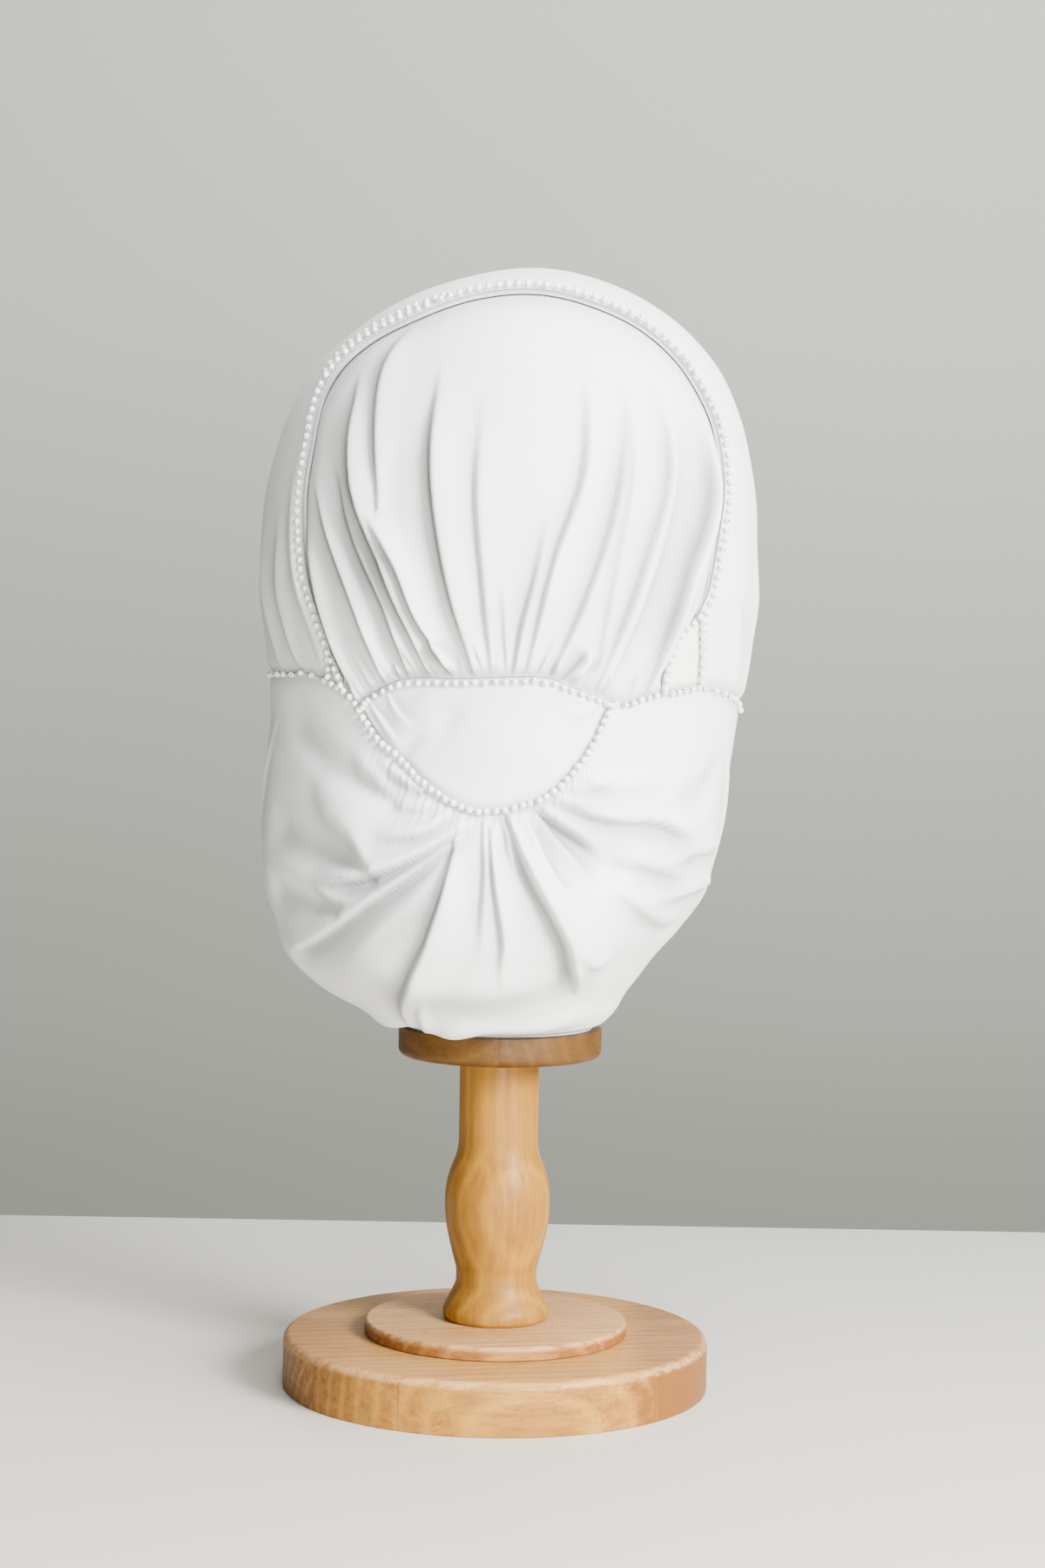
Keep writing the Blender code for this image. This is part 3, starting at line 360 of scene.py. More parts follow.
@dataclass(frozen=True)
class TurbanForm:
    """The form that all panels lie on: half ellipses behind and before the stand's axis.

    Widths and depths run between the rows as squares, so that top and hem close round.
    """

    rows: Rows = FORM_ROWS
    centre: tuple[float, float, float] = (0.0, 5.0, 300.0)
    arc_radius: float = 92.0
    farthest: float = 220.0
    halvings: int = 34

    def section(self, height: Array) -> tuple[Array, Array, Array, Array]:
        """Return half width, shift, back and front depth at each height."""
        rows = np.array(self.rows)[::-1]
        knots = rows[:, 0]
        half = np.sqrt(np.maximum(smooth_curve(knots, rows[:, 1] ** 2, height), 0.0))
        shift = smooth_curve(knots, rows[:, 2], height)
        back = np.sqrt(np.maximum(smooth_curve(knots, rows[:, 3] ** 2, height), 0.0))
        front = np.sqrt(np.maximum(smooth_curve(knots, rows[:, 4] ** 2, height), 0.0))
        return half, shift, back, front

    def level(self, points: Array) -> Array:
        """Return a value above zero outside the form and below zero within it."""
        half, shift, back, front = self.section(points[..., 2])
        depth = np.where(points[..., 1] < 0.0, back, front)
        across = (points[..., 0] - shift) / np.maximum(half, 0.01)
        along = points[..., 1] / np.maximum(depth, 0.01)
        value = across ** 2 + along ** 2 - 1.0
        return np.where(points[..., 2] > self.rows[0][0], 1.0, value)

    def cast(self, ways: Array) -> Array:
        """Return where rays from the centre leave the form, by halving."""
        centre = np.array(self.centre)
        near = np.zeros(ways.shape[:-1])
        far = np.full(ways.shape[:-1], self.farthest)
        for _ in range(self.halvings):
            middle = 0.5 * (near + far)
            out = self.level(centre + middle[..., None] * ways) > 0.0
            far = np.where(out, middle, far)
            near = np.where(out, near, middle)
        return centre + near[..., None] * ways

    def ways_to(self, points: Array) -> Array:
        """Return unit vectors from the centre to the points."""
        return unit(points - np.array(self.centre))

    def on_back(self, rows: Rows) -> Array:
        """Return the form's points behind the axis for rows of x and height."""
        table = np.array(rows, dtype=float)
        half, shift, back, _ = self.section(table[:, 1])
        across = np.clip((table[:, 0] - shift) / half, -1.0, 1.0)
        return np.stack([table[:, 0], -back * np.sqrt(1.0 - across ** 2), table[:, 1]], -1)

    def on_azimuth(self, azimuth: Array, height: Array) -> Array:
        """Return the form's points at an angle round from the back's middle, in degrees."""
        half, shift, back, front = self.section(height)
        angle = np.radians(azimuth)
        depth = np.where(np.cos(angle) > 0.0, back, front)
        radius = 1.0 / np.sqrt((np.sin(angle) / half) ** 2 + (np.cos(angle) / depth) ** 2)
        x = shift + radius * np.sin(angle)
        return np.stack([x, -radius * np.cos(angle), height], -1)

    def on_arc(self, rows: Array) -> Array:
        """Return the form's points for rows of distance round the back and height."""
        return self.on_azimuth(np.degrees(rows[:, 0] / self.arc_radius), rows[:, 1])

    def azimuth(self, points: Array) -> Array:
        """Return the angle of points round from the back's middle, in degrees."""
        shift = self.section(points[..., 2])[1]
        return np.degrees(np.arctan2(points[..., 0] - shift, -points[..., 1]))

    def normals(self, points: Array) -> Array:
        """Return outward normals by small differences of the level value."""
        slopes = []
        for axis in range(3):
            offset = np.zeros(3)
            offset[axis] = 0.5
            slopes.append(self.level(points + offset) - self.level(points - offset))
        return unit(np.stack(slopes, -1))

    def straight(self, first: Array, last: Array, count: int) -> Array:
        """Return the form's points on the shortest way between two of them."""
        ends = self.ways_to(np.stack([first, last]))
        part = np.linspace(0.0, 1.0, count)[:, None]
        return self.cast(unit((1.0 - part) * ends[0] + part * ends[1]))

    def patch(self, first: Array, last: Array, start: Array, end: Array) -> Array:
        """Return a grid on the form that meets four edge curves.

        Each row runs from the first edge to the last in a plane with the centre. What the
        start and end rows miss of their own curves is shared out over the rows.

        Args:
            first: Points of the edge where rows begin.
            last: Points of the edge where rows end.
            start: Points of the first row.
            end: Points of the last row.

        Returns:
            Points of shape (rows, columns, 3).
        """
        first, last = self.ways_to(first), self.ways_to(last)
        start, end = self.ways_to(start), self.ways_to(end)
        part = np.linspace(0.0, 1.0, len(start))[None, :, None]
        way = unit((1.0 - part) * first[:, None] + part * last[:, None])
        share = np.linspace(0.0, 1.0, len(first))[:, None, None]
        missed = (1.0 - share) * (start - way[0]) + share * (end - way[-1])
        return self.cast(unit(way + missed))


FORM = TurbanForm()


@dataclass(frozen=True)
class SeamLines:
    """Every seam as even points on the form, shared by the panels that meet there.

    Each count is the steps of the plain solid's seam times how much finer it is here.
    """

    yoke_steps: int = 28 * FINER
    band_steps: int = 25 * FINER
    gusset_left_steps: int = 2 * FINER
    gusset_right_steps: int = 8 * FINER
    bag_right_steps: int = 5 * FINER
    gusset_base_steps: int = 2 * FINER
    band_foot_steps: int = 90
    chin_steps: int = 40
    face_half_width: float = 74.0
    face_half_height: float = 98.0
    face_centre_height: float = 308.0

    @staticmethod
    def back(rows: Rows, steps: int) -> Array:
        """Return even points along a seam given by x and height."""
        return evenly(FORM.on_back(rows), steps + 1)

    @staticmethod
    def round(rows: Rows, steps: int) -> Array:
        """Return even points along a seam given by azimuth and height."""
        table = np.array(rows)
        return evenly(FORM.on_azimuth(table[:, 0], table[:, 1]), steps + 1)

    def yoke_top(self) -> Array:
        """Return the yoke's seam with the crown, from left to right."""
        return self.back(YOKE_TOP, self.yoke_steps)

    def yoke_foot(self) -> Array:
        """Return the yoke's seam with the bag, from left to right."""
        return self.back(YOKE_FOOT, self.yoke_steps)

    def bag_left(self) -> Array:
        """Return the crown's short seam with the bag, left of the yoke."""
        return self.back(BAG_SEAM_LEFT, self.gusset_left_steps)

    def bag_right(self) -> Array:
        """Return the crown's short seam with the bag, right of the yoke."""
        return self.back(BAG_SEAM_RIGHT, self.bag_right_steps)

    def over_top(self) -> Array:
        """Return the seam of crown and band, from gusset to gusset."""
        return self.back(BAND_SEAM, self.band_steps)

    def crown_foot(self) -> Array:
        """Return the crown's whole lower edge."""
        return join(self.bag_left(), self.yoke_top(), self.bag_right())

    def crown_over(self) -> Array:
        """Return the crown's edge over the top, with its gusset seams."""
        left = self.back(GUSSET_LEFT_INNER[::-1], self.gusset_left_steps)
        right = self.back(GUSSET_RIGHT_INNER, self.gusset_right_steps)
        return self.fit(join(left, self.over_top(), right), len(self.crown_foot()))

    def band_back(self) -> Array:
        """Return the band's edge beside the gussets and the crown."""
        left = self.back(GUSSET_LEFT_OUTER[::-1], self.gusset_left_steps)
        right = self.back(GUSSET_RIGHT_OUTER, self.gusset_right_steps)
        return join(left, self.over_top(), right)

    def face(self, count: int) -> Array:
        """Return the band's edge on the face opening, an ellipse seen from the front."""
        rise_left = (self.face_centre_height - BAND_FOOT_LEFT[0][1]) / self.face_half_height
        rise_right = (self.face_centre_height - BAND_FOOT_RIGHT[-1][1]) / self.face_half_height
        turn = np.linspace(math.pi + math.asin(rise_left), -math.asin(rise_right), count)
        x = self.face_half_width * np.cos(turn)
        height = self.face_centre_height + self.face_half_height * np.sin(turn)
        half, shift, _, front = FORM.section(height)
        y = front * np.sqrt(np.maximum(1.0 - ((x - shift) / half) ** 2, 0.0))
        return np.stack([x, y, height], -1)

    def band_feet(self) -> tuple[Array, Array]:
        """Return the band's two seams with the bag, each from the back to the face."""
        back = self.band_back()
        face = self.face(len(back))
        left = self.round(BAND_FOOT_LEFT[::-1], self.band_foot_steps)
        right = self.round(BAND_FOOT_RIGHT, self.band_foot_steps)
        left[0], left[-1] = back[0], face[0]
        right[0], right[-1] = back[-1], face[-1]
        return left, right

    def gusset_bases(self) -> tuple[Array, Array]:
        """Return the short seams of both gussets with the bag, from left to right."""
        left_foot, right_foot = self.band_feet()
        count = self.gusset_base_steps + 1
        return (FORM.straight(left_foot[0], self.bag_left()[0], count),
                FORM.straight(self.bag_right()[-1], right_foot[0], count))

    def bag_top(self) -> Array:
        """Return the bag's top edge once round, from the front past the left side."""
        left_foot, right_foot = self.band_feet()
        left_base, right_base = self.gusset_bases()
        right_chin = self.round(BAND_FOOT_RIGHT[-1:] + CHIN_EDGE[::-1], self.chin_steps)
        rows = tuple((-turn, height) for turn, height in CHIN_EDGE) + BAND_FOOT_LEFT[:1]
        left_chin = self.round(rows, self.chin_steps)
        line = join(left_chin, left_foot[::-1], left_base, self.bag_left(),
                    self.yoke_foot(), self.bag_right(), right_base, right_foot, right_chin)
        return line[:-1]

    @staticmethod
    def fit(line: Array, count: int) -> Array:
        """Return a line with another number of points, spread as they were."""
        return sample(line, np.arange(len(line)), np.linspace(0.0, len(line) - 1.0, count))

    @staticmethod
    def off_corner(line: Array, start: float, end: float) -> Array:
        """Return a line that starts and ends a little way in, in millimetres."""
        length = run_length(line)
        return sample(line, length, np.linspace(start, length[-1] - end, len(line)))


SEAMS = SeamLines()


@dataclass(frozen=True)
class Fold:
    """One crease on the form: its curve and how the cloth steps down beside it."""

    curve: Array
    depth: float
    over: float
    under: float
    lip: float
    tail: float
    lap: Lap
    foot_depth: float = 0.5
    full_depth_at: float = 0.25
    foot_reach: float = 0.4
    full_reach_at: float = 0.45
    raised: float = 0.7
    cut: float = 0.45
    # painted shade: how much each crease darkens the cloth's colour, in a trough and under a lip
    trough_painted_shade: float = 0.25
    deep_crease: float = 4.0
    painted_shade_fall: float = 1.2

    def lift(self, grid: Array, normals: Array) -> tuple[Array, Array]:
        """Return how far the crease lifts each point of a grid, and its painted shade there.

        With s the distance from the crease, above zero on the side on top, and rise a
        smooth step over the lip, the lift is depth · (raised·rise·exp(−(s/over)²) −
        cut·(1 − rise)·exp(s/under)). The painted shade, a darkening of the colour that
        stands in for the shade under the lip, goes from 1 under the lip to 0 beside it,
        (1 − rise)·exp(painted_shade_fall·s/under). Depth and reach grow from the foot, the
        lip opens, and depth fades towards the tip. Without a lap it is a soft trough,
        −depth·exp(−(s/under)²), with painted shade in its bottom.

        Args:
            grid: Points on the form.
            normals: Outward normals there.

        Returns:
            The lift in millimetres and the painted shade from 0 to 1.
        """
        nearest = np.full(grid.shape[:-1], 1e9)
        signed = np.zeros(grid.shape[:-1])
        part = np.zeros(grid.shape[:-1])
        last = len(self.curve) - 1
        for step in range(last):
            way = self.curve[step + 1] - self.curve[step]
            off = grid - self.curve[step]
            along = np.clip((off @ way) / (way @ way), 0.0, 1.0)
            gap = off - along[..., None] * way
            distance = np.linalg.norm(gap, axis=-1)
            closer = distance < nearest
            right = (gap * np.cross(way, normals)).sum(-1)
            nearest = np.where(closer, distance, nearest)
            signed = np.where(closer, np.sign(right) * distance, signed)
            part = np.where(closer, (step + along) / last, part)
        grown = self.foot_depth + (1.0 - self.foot_depth) * ease(part / self.full_depth_at)
        strength = grown * ease((1.0 - part) / self.tail)
        widen = self.foot_reach + (1.0 - self.foot_reach) * ease(part / self.full_reach_at)
        if self.lap is Lap.NONE:
            trough = strength * np.exp(-((signed / (self.under * widen)) ** 2))
            return -self.depth * trough, self.trough_painted_shade * trough ** 2
        s = signed * self.lap.value
        lip = 0.4 * self.lip * (0.9 + 1.3 * part)
        rise = 1.0 / (1.0 + np.exp(-np.clip(s / lip, -40.0, 40.0)))
        over, under = self.over * widen, self.under * widen
        top = rise * np.exp(-((np.maximum(s, 0.0) / over) ** 2))
        below = np.exp(-np.maximum(-s, 0.0) / under)
        lift = strength * self.depth * (self.raised * top - self.cut * (1.0 - rise) * below)
        # painted shade under the lip, stronger for deeper creases
        share = min(1.0, self.depth / self.deep_crease) / (0.6 + 0.4 * max(self.lip, 1.0))
        return lift, share * strength * (1.0 - rise) * below ** self.painted_shade_fall


def folds_from(table: tuple, by_arc: bool) -> list[Fold]:
    """Turn a table of creases into folds on the form.

    Args:
        table: Rows of four places, depth, over, under, lip, tail and lap.
        by_arc: Whether the first number of a place is a distance round the back.

    Returns:
        A fold for each row.
    """
    folds = []
    for row in table:
        line = evenly(np.array(row[:8], dtype=float).reshape(4, 2), 25)
        curve = FORM.on_arc(line) if by_arc else FORM.on_back(tuple(map(tuple, line)))
        folds.append(Fold(curve, *row[8:]))
    return folds


def swell_lift(grid: Array, swells: Rows) -> Array:
    """Return the lift of broad rises and hollows, each an oval Gaussian on the form.

    Args:
        grid: Points on the form.
        swells: Rows of arc, height, turn, half length, half breadth and lift.

    Returns:
        The lift of each point.
    """
    lift = np.zeros(grid.shape[:-1])
    for arc, height, turn, along, across, rise in swells:
        centre = FORM.on_arc(np.array([[arc, height]]))[0]
        normal = FORM.normals(centre[None])[0]
        level = unit(np.cross(np.array([0.0, 0.0, 1.0]), normal))
        up = np.cross(normal, level)
        turn = math.radians(turn)
        long_way = level * math.cos(turn) + up * math.sin(turn)
        off = grid - centre
        run = off @ long_way
        rest = np.linalg.norm(off - run[..., None] * long_way, axis=-1)
        lift += rise * np.exp(-((run / along) ** 2) - (rest / across) ** 2)
    return lift


def ripple(along: Array, waves: Rows) -> Array:
    """Return a sum of sines of the length along a seam, from rows of wave and phase."""
    total = np.zeros_like(along)
    for wave, phase in waves:
        total += np.sin(2.0 * math.pi * along / wave + phase)
    return total / len(waves)


def link(name: str, data: bpy.types.ID) -> bpy.types.Object:
    """Put a mesh, lamp or camera into the scene under a name."""
    made = bpy.data.objects.new(name, data)
    bpy.context.scene.collection.objects.link(made)
    return made


def add_object(name: str, vertices: Array, quads: Array, finish: bpy.types.Material,
               uv: Array | None = None) -> bpy.types.Object:
    """Put quads into a mesh with its faces outwards and its object at the origin.

    Args:
        name: The object's name.
        vertices: Points in millimetres.
        quads: Four point numbers for each face.
        finish: The material.
        uv: A place on the cloth for each point, in metres, or None.

    Returns:
        The linked object.
    """
    a, b, c, d = (vertices[quads[:, k]] for k in range(4))
    volume = (a * np.cross(b, c)).sum() + (a * np.cross(c, d)).sum()
    if volume < 0.0:
        quads = quads[:, ::-1]
    mesh = bpy.data.meshes.new(name)
    mesh.vertices.add(len(vertices))
    mesh.vertices.foreach_set("co", (vertices * MM).astype(np.float32).ravel())
    mesh.loops.add(quads.size)
    mesh.loops.foreach_set("vertex_index", quads.astype(np.int32).ravel())
    mesh.polygons.add(len(quads))
    mesh.polygons.foreach_set("loop_start", np.arange(0, quads.size, 4, dtype=np.int32))
    mesh.update(calc_edges=True)
    if uv is not None:
        layer = mesh.uv_layers.new(name="cloth")
        layer.data.foreach_set("uv", uv[quads.ravel()].astype(np.float32).ravel())
    mesh.shade_smooth()
    mesh.materials.append(finish)
    piece = link(name, mesh)
    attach(piece, BODY)
    return piece


def add_copies(name: str, copies: Array, quads: Array,
               finish: bpy.types.Material) -> bpy.types.Object:
    """Join many copies of a small shape in one object.

    Args:
        name: The object's name.
        copies: Points of shape (copies, points, 3).
        quads: The faces of one copy.
        finish: The material.

    Returns:
        The linked object.
    """
    starts = (np.arange(copies.shape[0]) * copies.shape[1])[:, None, None]
    return add_object(name, copies.reshape(-1, 3), (quads + starts).reshape(-1, 4), finish)


Socket = bpy.types.NodeSocket


class Nodes:
    """A node tree with short calls that add a node and fill or join its inputs."""

    def __init__(self, tree: bpy.types.NodeTree) -> None:
        """Keep the tree."""
        self.tree = tree

    def put(self, socket: Socket, value: object) -> None:
        """Join a socket to an output, or give it a constant."""
        if isinstance(value, bpy.types.NodeSocket):
            self.tree.links.new(value, socket)
        elif isinstance(value, tuple) and len(value) == 3 and socket.type == "RGBA":
            socket.default_value = (*value, 1.0)
        else:
            socket.default_value = value

    def fill(self, node: bpy.types.Node, inputs: dict) -> bpy.types.Node:
        """Fill inputs of a node by name or number, and return the node."""
        for key, value in inputs.items():
            self.put(node.inputs[key], value)
        return node

    def add(self, kind: str, inputs: dict | None = None, **settings: object) -> bpy.types.Node:
        """Add a node, set its own settings and fill its inputs by name or number."""
        node = self.tree.nodes.new(kind)
        for key, value in settings.items():
            setattr(node, key, value)
        return self.fill(node, inputs or {})

    def math(self, operation: str, a: object, b: object = 0.0, c: object = 0.0) -> Socket:
        """Add a Math node and return its output."""
        node = self.add("ShaderNodeMath", {0: a, 1: b, 2: c}, operation=operation)
        return node.outputs[0]

    def mix(self, factor: object, a: object, b: object) -> Socket:
        """Add a colour Mix node and return its output."""
        node = self.add("ShaderNodeMix", {0: factor, 6: a, 7: b}, data_type="RGBA")
        return node.outputs[2]

    def scaled(self, place: Socket, scale: tuple[float, float, float]) -> Socket:
        """Add a Mapping node that stretches a place and return its output."""
        return self.add("ShaderNodeMapping", {0: place, 3: scale}).outputs[0]

    def vector(self, operation: str, inputs: dict) -> bpy.types.Node:
        """Add a Vector Math node and return it."""
        return self.add("ShaderNodeVectorMath", inputs, operation=operation)

    def noise(self, place: Socket, scale: object, detail: float,
              roughness: float = 0.5) -> Socket:
        """Add a Noise Texture node and return its value."""
        node = self.add("ShaderNodeTexNoise", {"Vector": place, "Scale": scale,
                                               "Detail": detail, "Roughness": roughness})
        return node.outputs[0]

    def bump(self, strength: float, distance: float, height: Socket,
             under: Socket | None = None) -> Socket:
        """Add a Bump node, over another normal if there is one, and return its output."""
        inputs = {"Strength": strength, "Distance": distance, "Height": height}
        if under is not None:
            inputs["Normal"] = under
        return self.add("ShaderNodeBump", inputs).outputs[0]

    def spread(self, value: Socket, low: float, high: float, to_low: float,
               to_high: float) -> Socket:
        """Add a clamped Map Range node and return its output."""
        node = self.add("ShaderNodeMapRange", {0: value, 1: low, 2: high, 3: to_low, 4: to_high})
        return node.outputs[0]

    def group(self, tree: bpy.types.NodeTree, inputs: dict) -> bpy.types.Node:
        """Place a node group and fill its inputs."""
        return self.fill(self.add("ShaderNodeGroup", node_tree=tree), inputs)


def new_group(name: str, inputs: dict[str, tuple[str, object]],
              outputs: dict[str, str]) -> tuple[Nodes, bpy.types.Node, bpy.types.Node]:
    """Make an empty shader node group with named sockets.

    Args:
        name: The group's name.
        inputs: Socket type and default of each input.
        outputs: Socket type of each output.

    Returns:
        The tree's helper, its input node and its output node.
    """
    tree = bpy.data.node_groups.new(name, "ShaderNodeTree")
    for label, (kind, default) in inputs.items():
        socket = tree.interface.new_socket(label, in_out="INPUT", socket_type=kind)
        if default is not None:
            socket.default_value = default
    for label, kind in outputs.items():
        tree.interface.new_socket(label, in_out="OUTPUT", socket_type=kind)
    nodes = Nodes(tree)
    return nodes, nodes.add("NodeGroupInput"), nodes.add("NodeGroupOutput")


FLOAT = "NodeSocketFloat"
VECTOR = "NodeSocketVector"
COLOUR = "NodeSocketColor"


class SharedEffects:
    """The node groups that several finishes use, each built once."""

    def __init__(self) -> None:
        """Build the weave, the soft tone and the wood grain."""
        self.weave = self.build_weave()
        self.tone = self.build_tone()
        self.grain = self.build_grain()

    @staticmethod
    def build_weave() -> bpy.types.NodeTree:
        """Crossing threads: the higher of two sine ridges, with slubs along the warp."""
        nodes, given, out = new_group(
            "satin_weave",
            {"Vector": (VECTOR, None), "Threads": (FLOAT, 2800.0), "Slub": (FLOAT, 0.3)},
            {"Height": FLOAT, "Shade": FLOAT})
        parts = nodes.add("ShaderNodeSeparateXYZ", {0: given.outputs["Vector"]})
        ridges = []
        for axis, share in ((0, 1.0), (1, 0.55)):
            turn = nodes.math("MULTIPLY", parts.outputs[axis], given.outputs["Threads"])
            turn = nodes.math("MULTIPLY", turn, share * 2.0 * math.pi)
            ridges.append(nodes.math("MULTIPLY_ADD", nodes.math("SINE", turn), 0.5, 0.5))
        slub = nodes.noise(nodes.scaled(given.outputs["Vector"], (1400.0, 90.0, 1.0)), 1.0, 2.0)
        woven = nodes.math("MAXIMUM", ridges[0], ridges[1])
        uneven = nodes.math("MULTIPLY", slub, given.outputs["Slub"])
        nodes.fill(out, {"Height": nodes.math("ADD", woven, uneven),
                         "Shade": nodes.spread(slub, 0.3, 0.7, 0.0, 1.0)})
        return nodes.tree

    @staticmethod
    def build_tone() -> bpy.types.NodeTree:
        """A slow change of tone and a finer one of height, both from soft noise."""
        nodes, given, out = new_group(
            "soft_tone",
            {"Vector": (VECTOR, None), "Patch Scale": (FLOAT, 14.0), "Fine Scale": (FLOAT, 160.0)},
            {"Tone": FLOAT, "Height": FLOAT})
        place = given.outputs["Vector"]
        slow = nodes.noise(place, given.outputs["Patch Scale"], 3.0)
        fine = nodes.noise(place, given.outputs["Fine Scale"], 3.0, 0.45)
        nodes.fill(out, {"Tone": nodes.spread(slow, 0.32, 0.68, 0.0, 1.0), "Height": fine})
        return nodes.tree

    @staticmethod
    def build_grain() -> bpy.types.NodeTree:
        """Glued planks of rubberwood whose grain runs along X, side by side along Y.

        Growth rings are sine rings about a line along X, raised to a power so that the
        pale part is thin. The plank at Own Row has that line at the pith, the others at
        a place of their own. Pores are dark dashes along the grain, from noise stretched
        that way and cut at a level. The rim turns darker beyond a radius, and the end grain
        darker towards both ends of X; towards +X it is darker still by painted shade. A
        patchy band near a height is paler.
        """
        nodes, given, out = new_group(
            "rubberwood_grain",
            {"Place": (VECTOR, None), "Grain": (VECTOR, None), "Pith": (VECTOR, None),
             "Plank Width": (FLOAT, 0.06), "Plank Shift": (FLOAT, 0.0), "Own Row": (FLOAT, 0.0),
             "Ring Pitch": (FLOAT, 0.006), "Pores": (FLOAT, 1.0), "Rim Radius": (FLOAT, 1.0),
             "Rim Dark": (FLOAT, 0.0), "End Dark": (FLOAT, 0.0), "Pale Band Height": (FLOAT, -1.0),
             "Light": (COLOUR, (0.8, 0.6, 0.4, 1.0)), "Dark": (COLOUR, (0.6, 0.4, 0.2, 1.0)),
             "Blush": (COLOUR, (0.7, 0.5, 0.4, 1.0))},
            {"Color": COLOUR, "Roughness": FLOAT, "Height": FLOAT})
        grain = given.outputs["Grain"]
        parts = nodes.add("ShaderNodeSeparateXYZ", {0: grain})
        across = nodes.math("ADD", parts.outputs[1], given.outputs["Plank Shift"])
        across = nodes.math("DIVIDE", across, given.outputs["Plank Width"])
        row = nodes.math("FLOOR", across)
        joint = nodes.math("ABSOLUTE", nodes.math("SUBTRACT", nodes.math("FRACT", across), 0.5))
        joint = nodes.spread(joint, 0.488, 0.497, 0.0, 0.45)
        chance = nodes.add("ShaderNodeTexWhiteNoise", {"W": row}, noise_dimensions="1D")
        away = nodes.math("SUBTRACT", row, given.outputs["Own Row"])
        away = nodes.math("MINIMUM", nodes.math("ABSOLUTE", away), 1.0)
        stray = nodes.vector("MULTIPLY", {0: chance.outputs["Color"], 1: (0.4, 0.12, 0.07)})
        shift = nodes.vector("SCALE", {0: stray.outputs[0], "Scale": away})
        moved = nodes.vector("ADD", {0: grain, 1: shift.outputs[0]}).outputs[0]
        pith = nodes.vector("SUBTRACT", {0: moved, 1: given.outputs["Pith"]})
        rings = nodes.add("ShaderNodeTexWave",
                          {"Vector": nodes.scaled(pith.outputs[0], (0.12, 1.0, 1.0)),
                           "Scale": nodes.math("DIVIDE", 0.314, given.outputs["Ring Pitch"]),
                           "Distortion": 1.6, "Detail": 2.0, "Detail Scale": 0.6},
                          wave_type="RINGS", rings_direction="X", wave_profile="SIN")
        pale = nodes.math("POWER", rings.outputs["Fac"], 3.0)
        streaks = nodes.noise(nodes.scaled(moved, (12.0, 380.0, 380.0)), 1.0, 4.0, 0.6)
        pores = nodes.noise(nodes.scaled(moved, (260.0, 1900.0, 1900.0)), 1.0, 1.0)
        cloud = nodes.noise(moved, 34.0, 2.0)
        dark_pores = nodes.math("MULTIPLY", nodes.spread(pores, 0.57, 0.70, 0.0, 1.0),
                                given.outputs["Pores"])
        dark_pores = nodes.math("MULTIPLY", dark_pores,
                                nodes.spread(cloud, 0.35, 0.6, 0.35, 1.0))
        tint = nodes.mix(nodes.math("MULTIPLY", chance.outputs["Value"], 0.8),
                         given.outputs["Light"], given.outputs["Blush"])
        shade = nodes.math("MULTIPLY_ADD", pale, -0.42,
                           nodes.spread(streaks, 0.32, 0.72, 0.18, 0.80))
        shade = nodes.math("MULTIPLY_ADD", nodes.math("SUBTRACT", cloud, 0.5), 0.5, shade)
        place = nodes.add("ShaderNodeSeparateXYZ", {0: given.outputs["Place"]})
        flat = nodes.add("ShaderNodeCombineXYZ", {0: place.outputs[0], 1: place.outputs[1]})
        radius = nodes.vector("LENGTH", {0: flat.outputs[0]})
        beyond = nodes.math("SUBTRACT", radius.outputs["Value"], given.outputs["Rim Radius"])
        rim = nodes.math("MULTIPLY", nodes.spread(beyond, -0.0012, 0.0, 0.0, 1.0),
                         given.outputs["Rim Dark"])
        rim = nodes.math("MULTIPLY", rim, nodes.spread(cloud, 0.3, 0.65, 0.5, 1.3))
        # end grain darker towards both ends of X; the extra towards +X is painted shade
        end = nodes.spread(nodes.math("ABSOLUTE", place.outputs[0]), 0.050, 0.078, 0.0, 1.0)
        end = nodes.math("MULTIPLY", end, given.outputs["End Dark"])
        end = nodes.math("MULTIPLY", end,
                         nodes.spread(place.outputs[0], -0.02, 0.06, 0.5, 1.5))
        rim = nodes.math("ADD", rim, end)
        shade = nodes.math("ADD", nodes.math("ADD", shade, joint), rim)
        wood = nodes.mix(nodes.math("MINIMUM", nodes.math("MAXIMUM", shade, 0.0), 1.0), tint,
                         given.outputs["Dark"])
        # a paler patchy band near a height
        pale_band = nodes.math("SUBTRACT", place.outputs[2], given.outputs["Pale Band Height"])
        pale_band = nodes.spread(nodes.math("ABSOLUTE", pale_band), 0.0006, 0.0022, 0.55, 0.0)
        pale_band = nodes.math("MULTIPLY", pale_band, nodes.spread(streaks, 0.4, 0.55, 0.2, 1.0))
        wood = nodes.mix(pale_band, wood, (0.60, 0.36, 0.17))
        pored = nodes.mix(nodes.math("MULTIPLY", dark_pores, 0.6), wood, (0.12, 0.04, 0.016))
        nodes.fill(out, {"Color": pored,
                         "Roughness": nodes.spread(streaks, 0.3, 0.7, 0.4, 0.54),
                         "Height": nodes.math("MULTIPLY_ADD", dark_pores, -0.7, streaks)})
        return nodes.tree


def new_material(name: str) -> tuple[Nodes, bpy.types.Material, bpy.types.Node]:
    """Make a material and return its tree's helper, itself and its Principled shader."""
    material = bpy.data.materials.new(name)
    material.use_nodes = True
    shader = material.node_tree.nodes["Principled BSDF"]
    return Nodes(material.node_tree), material, shader


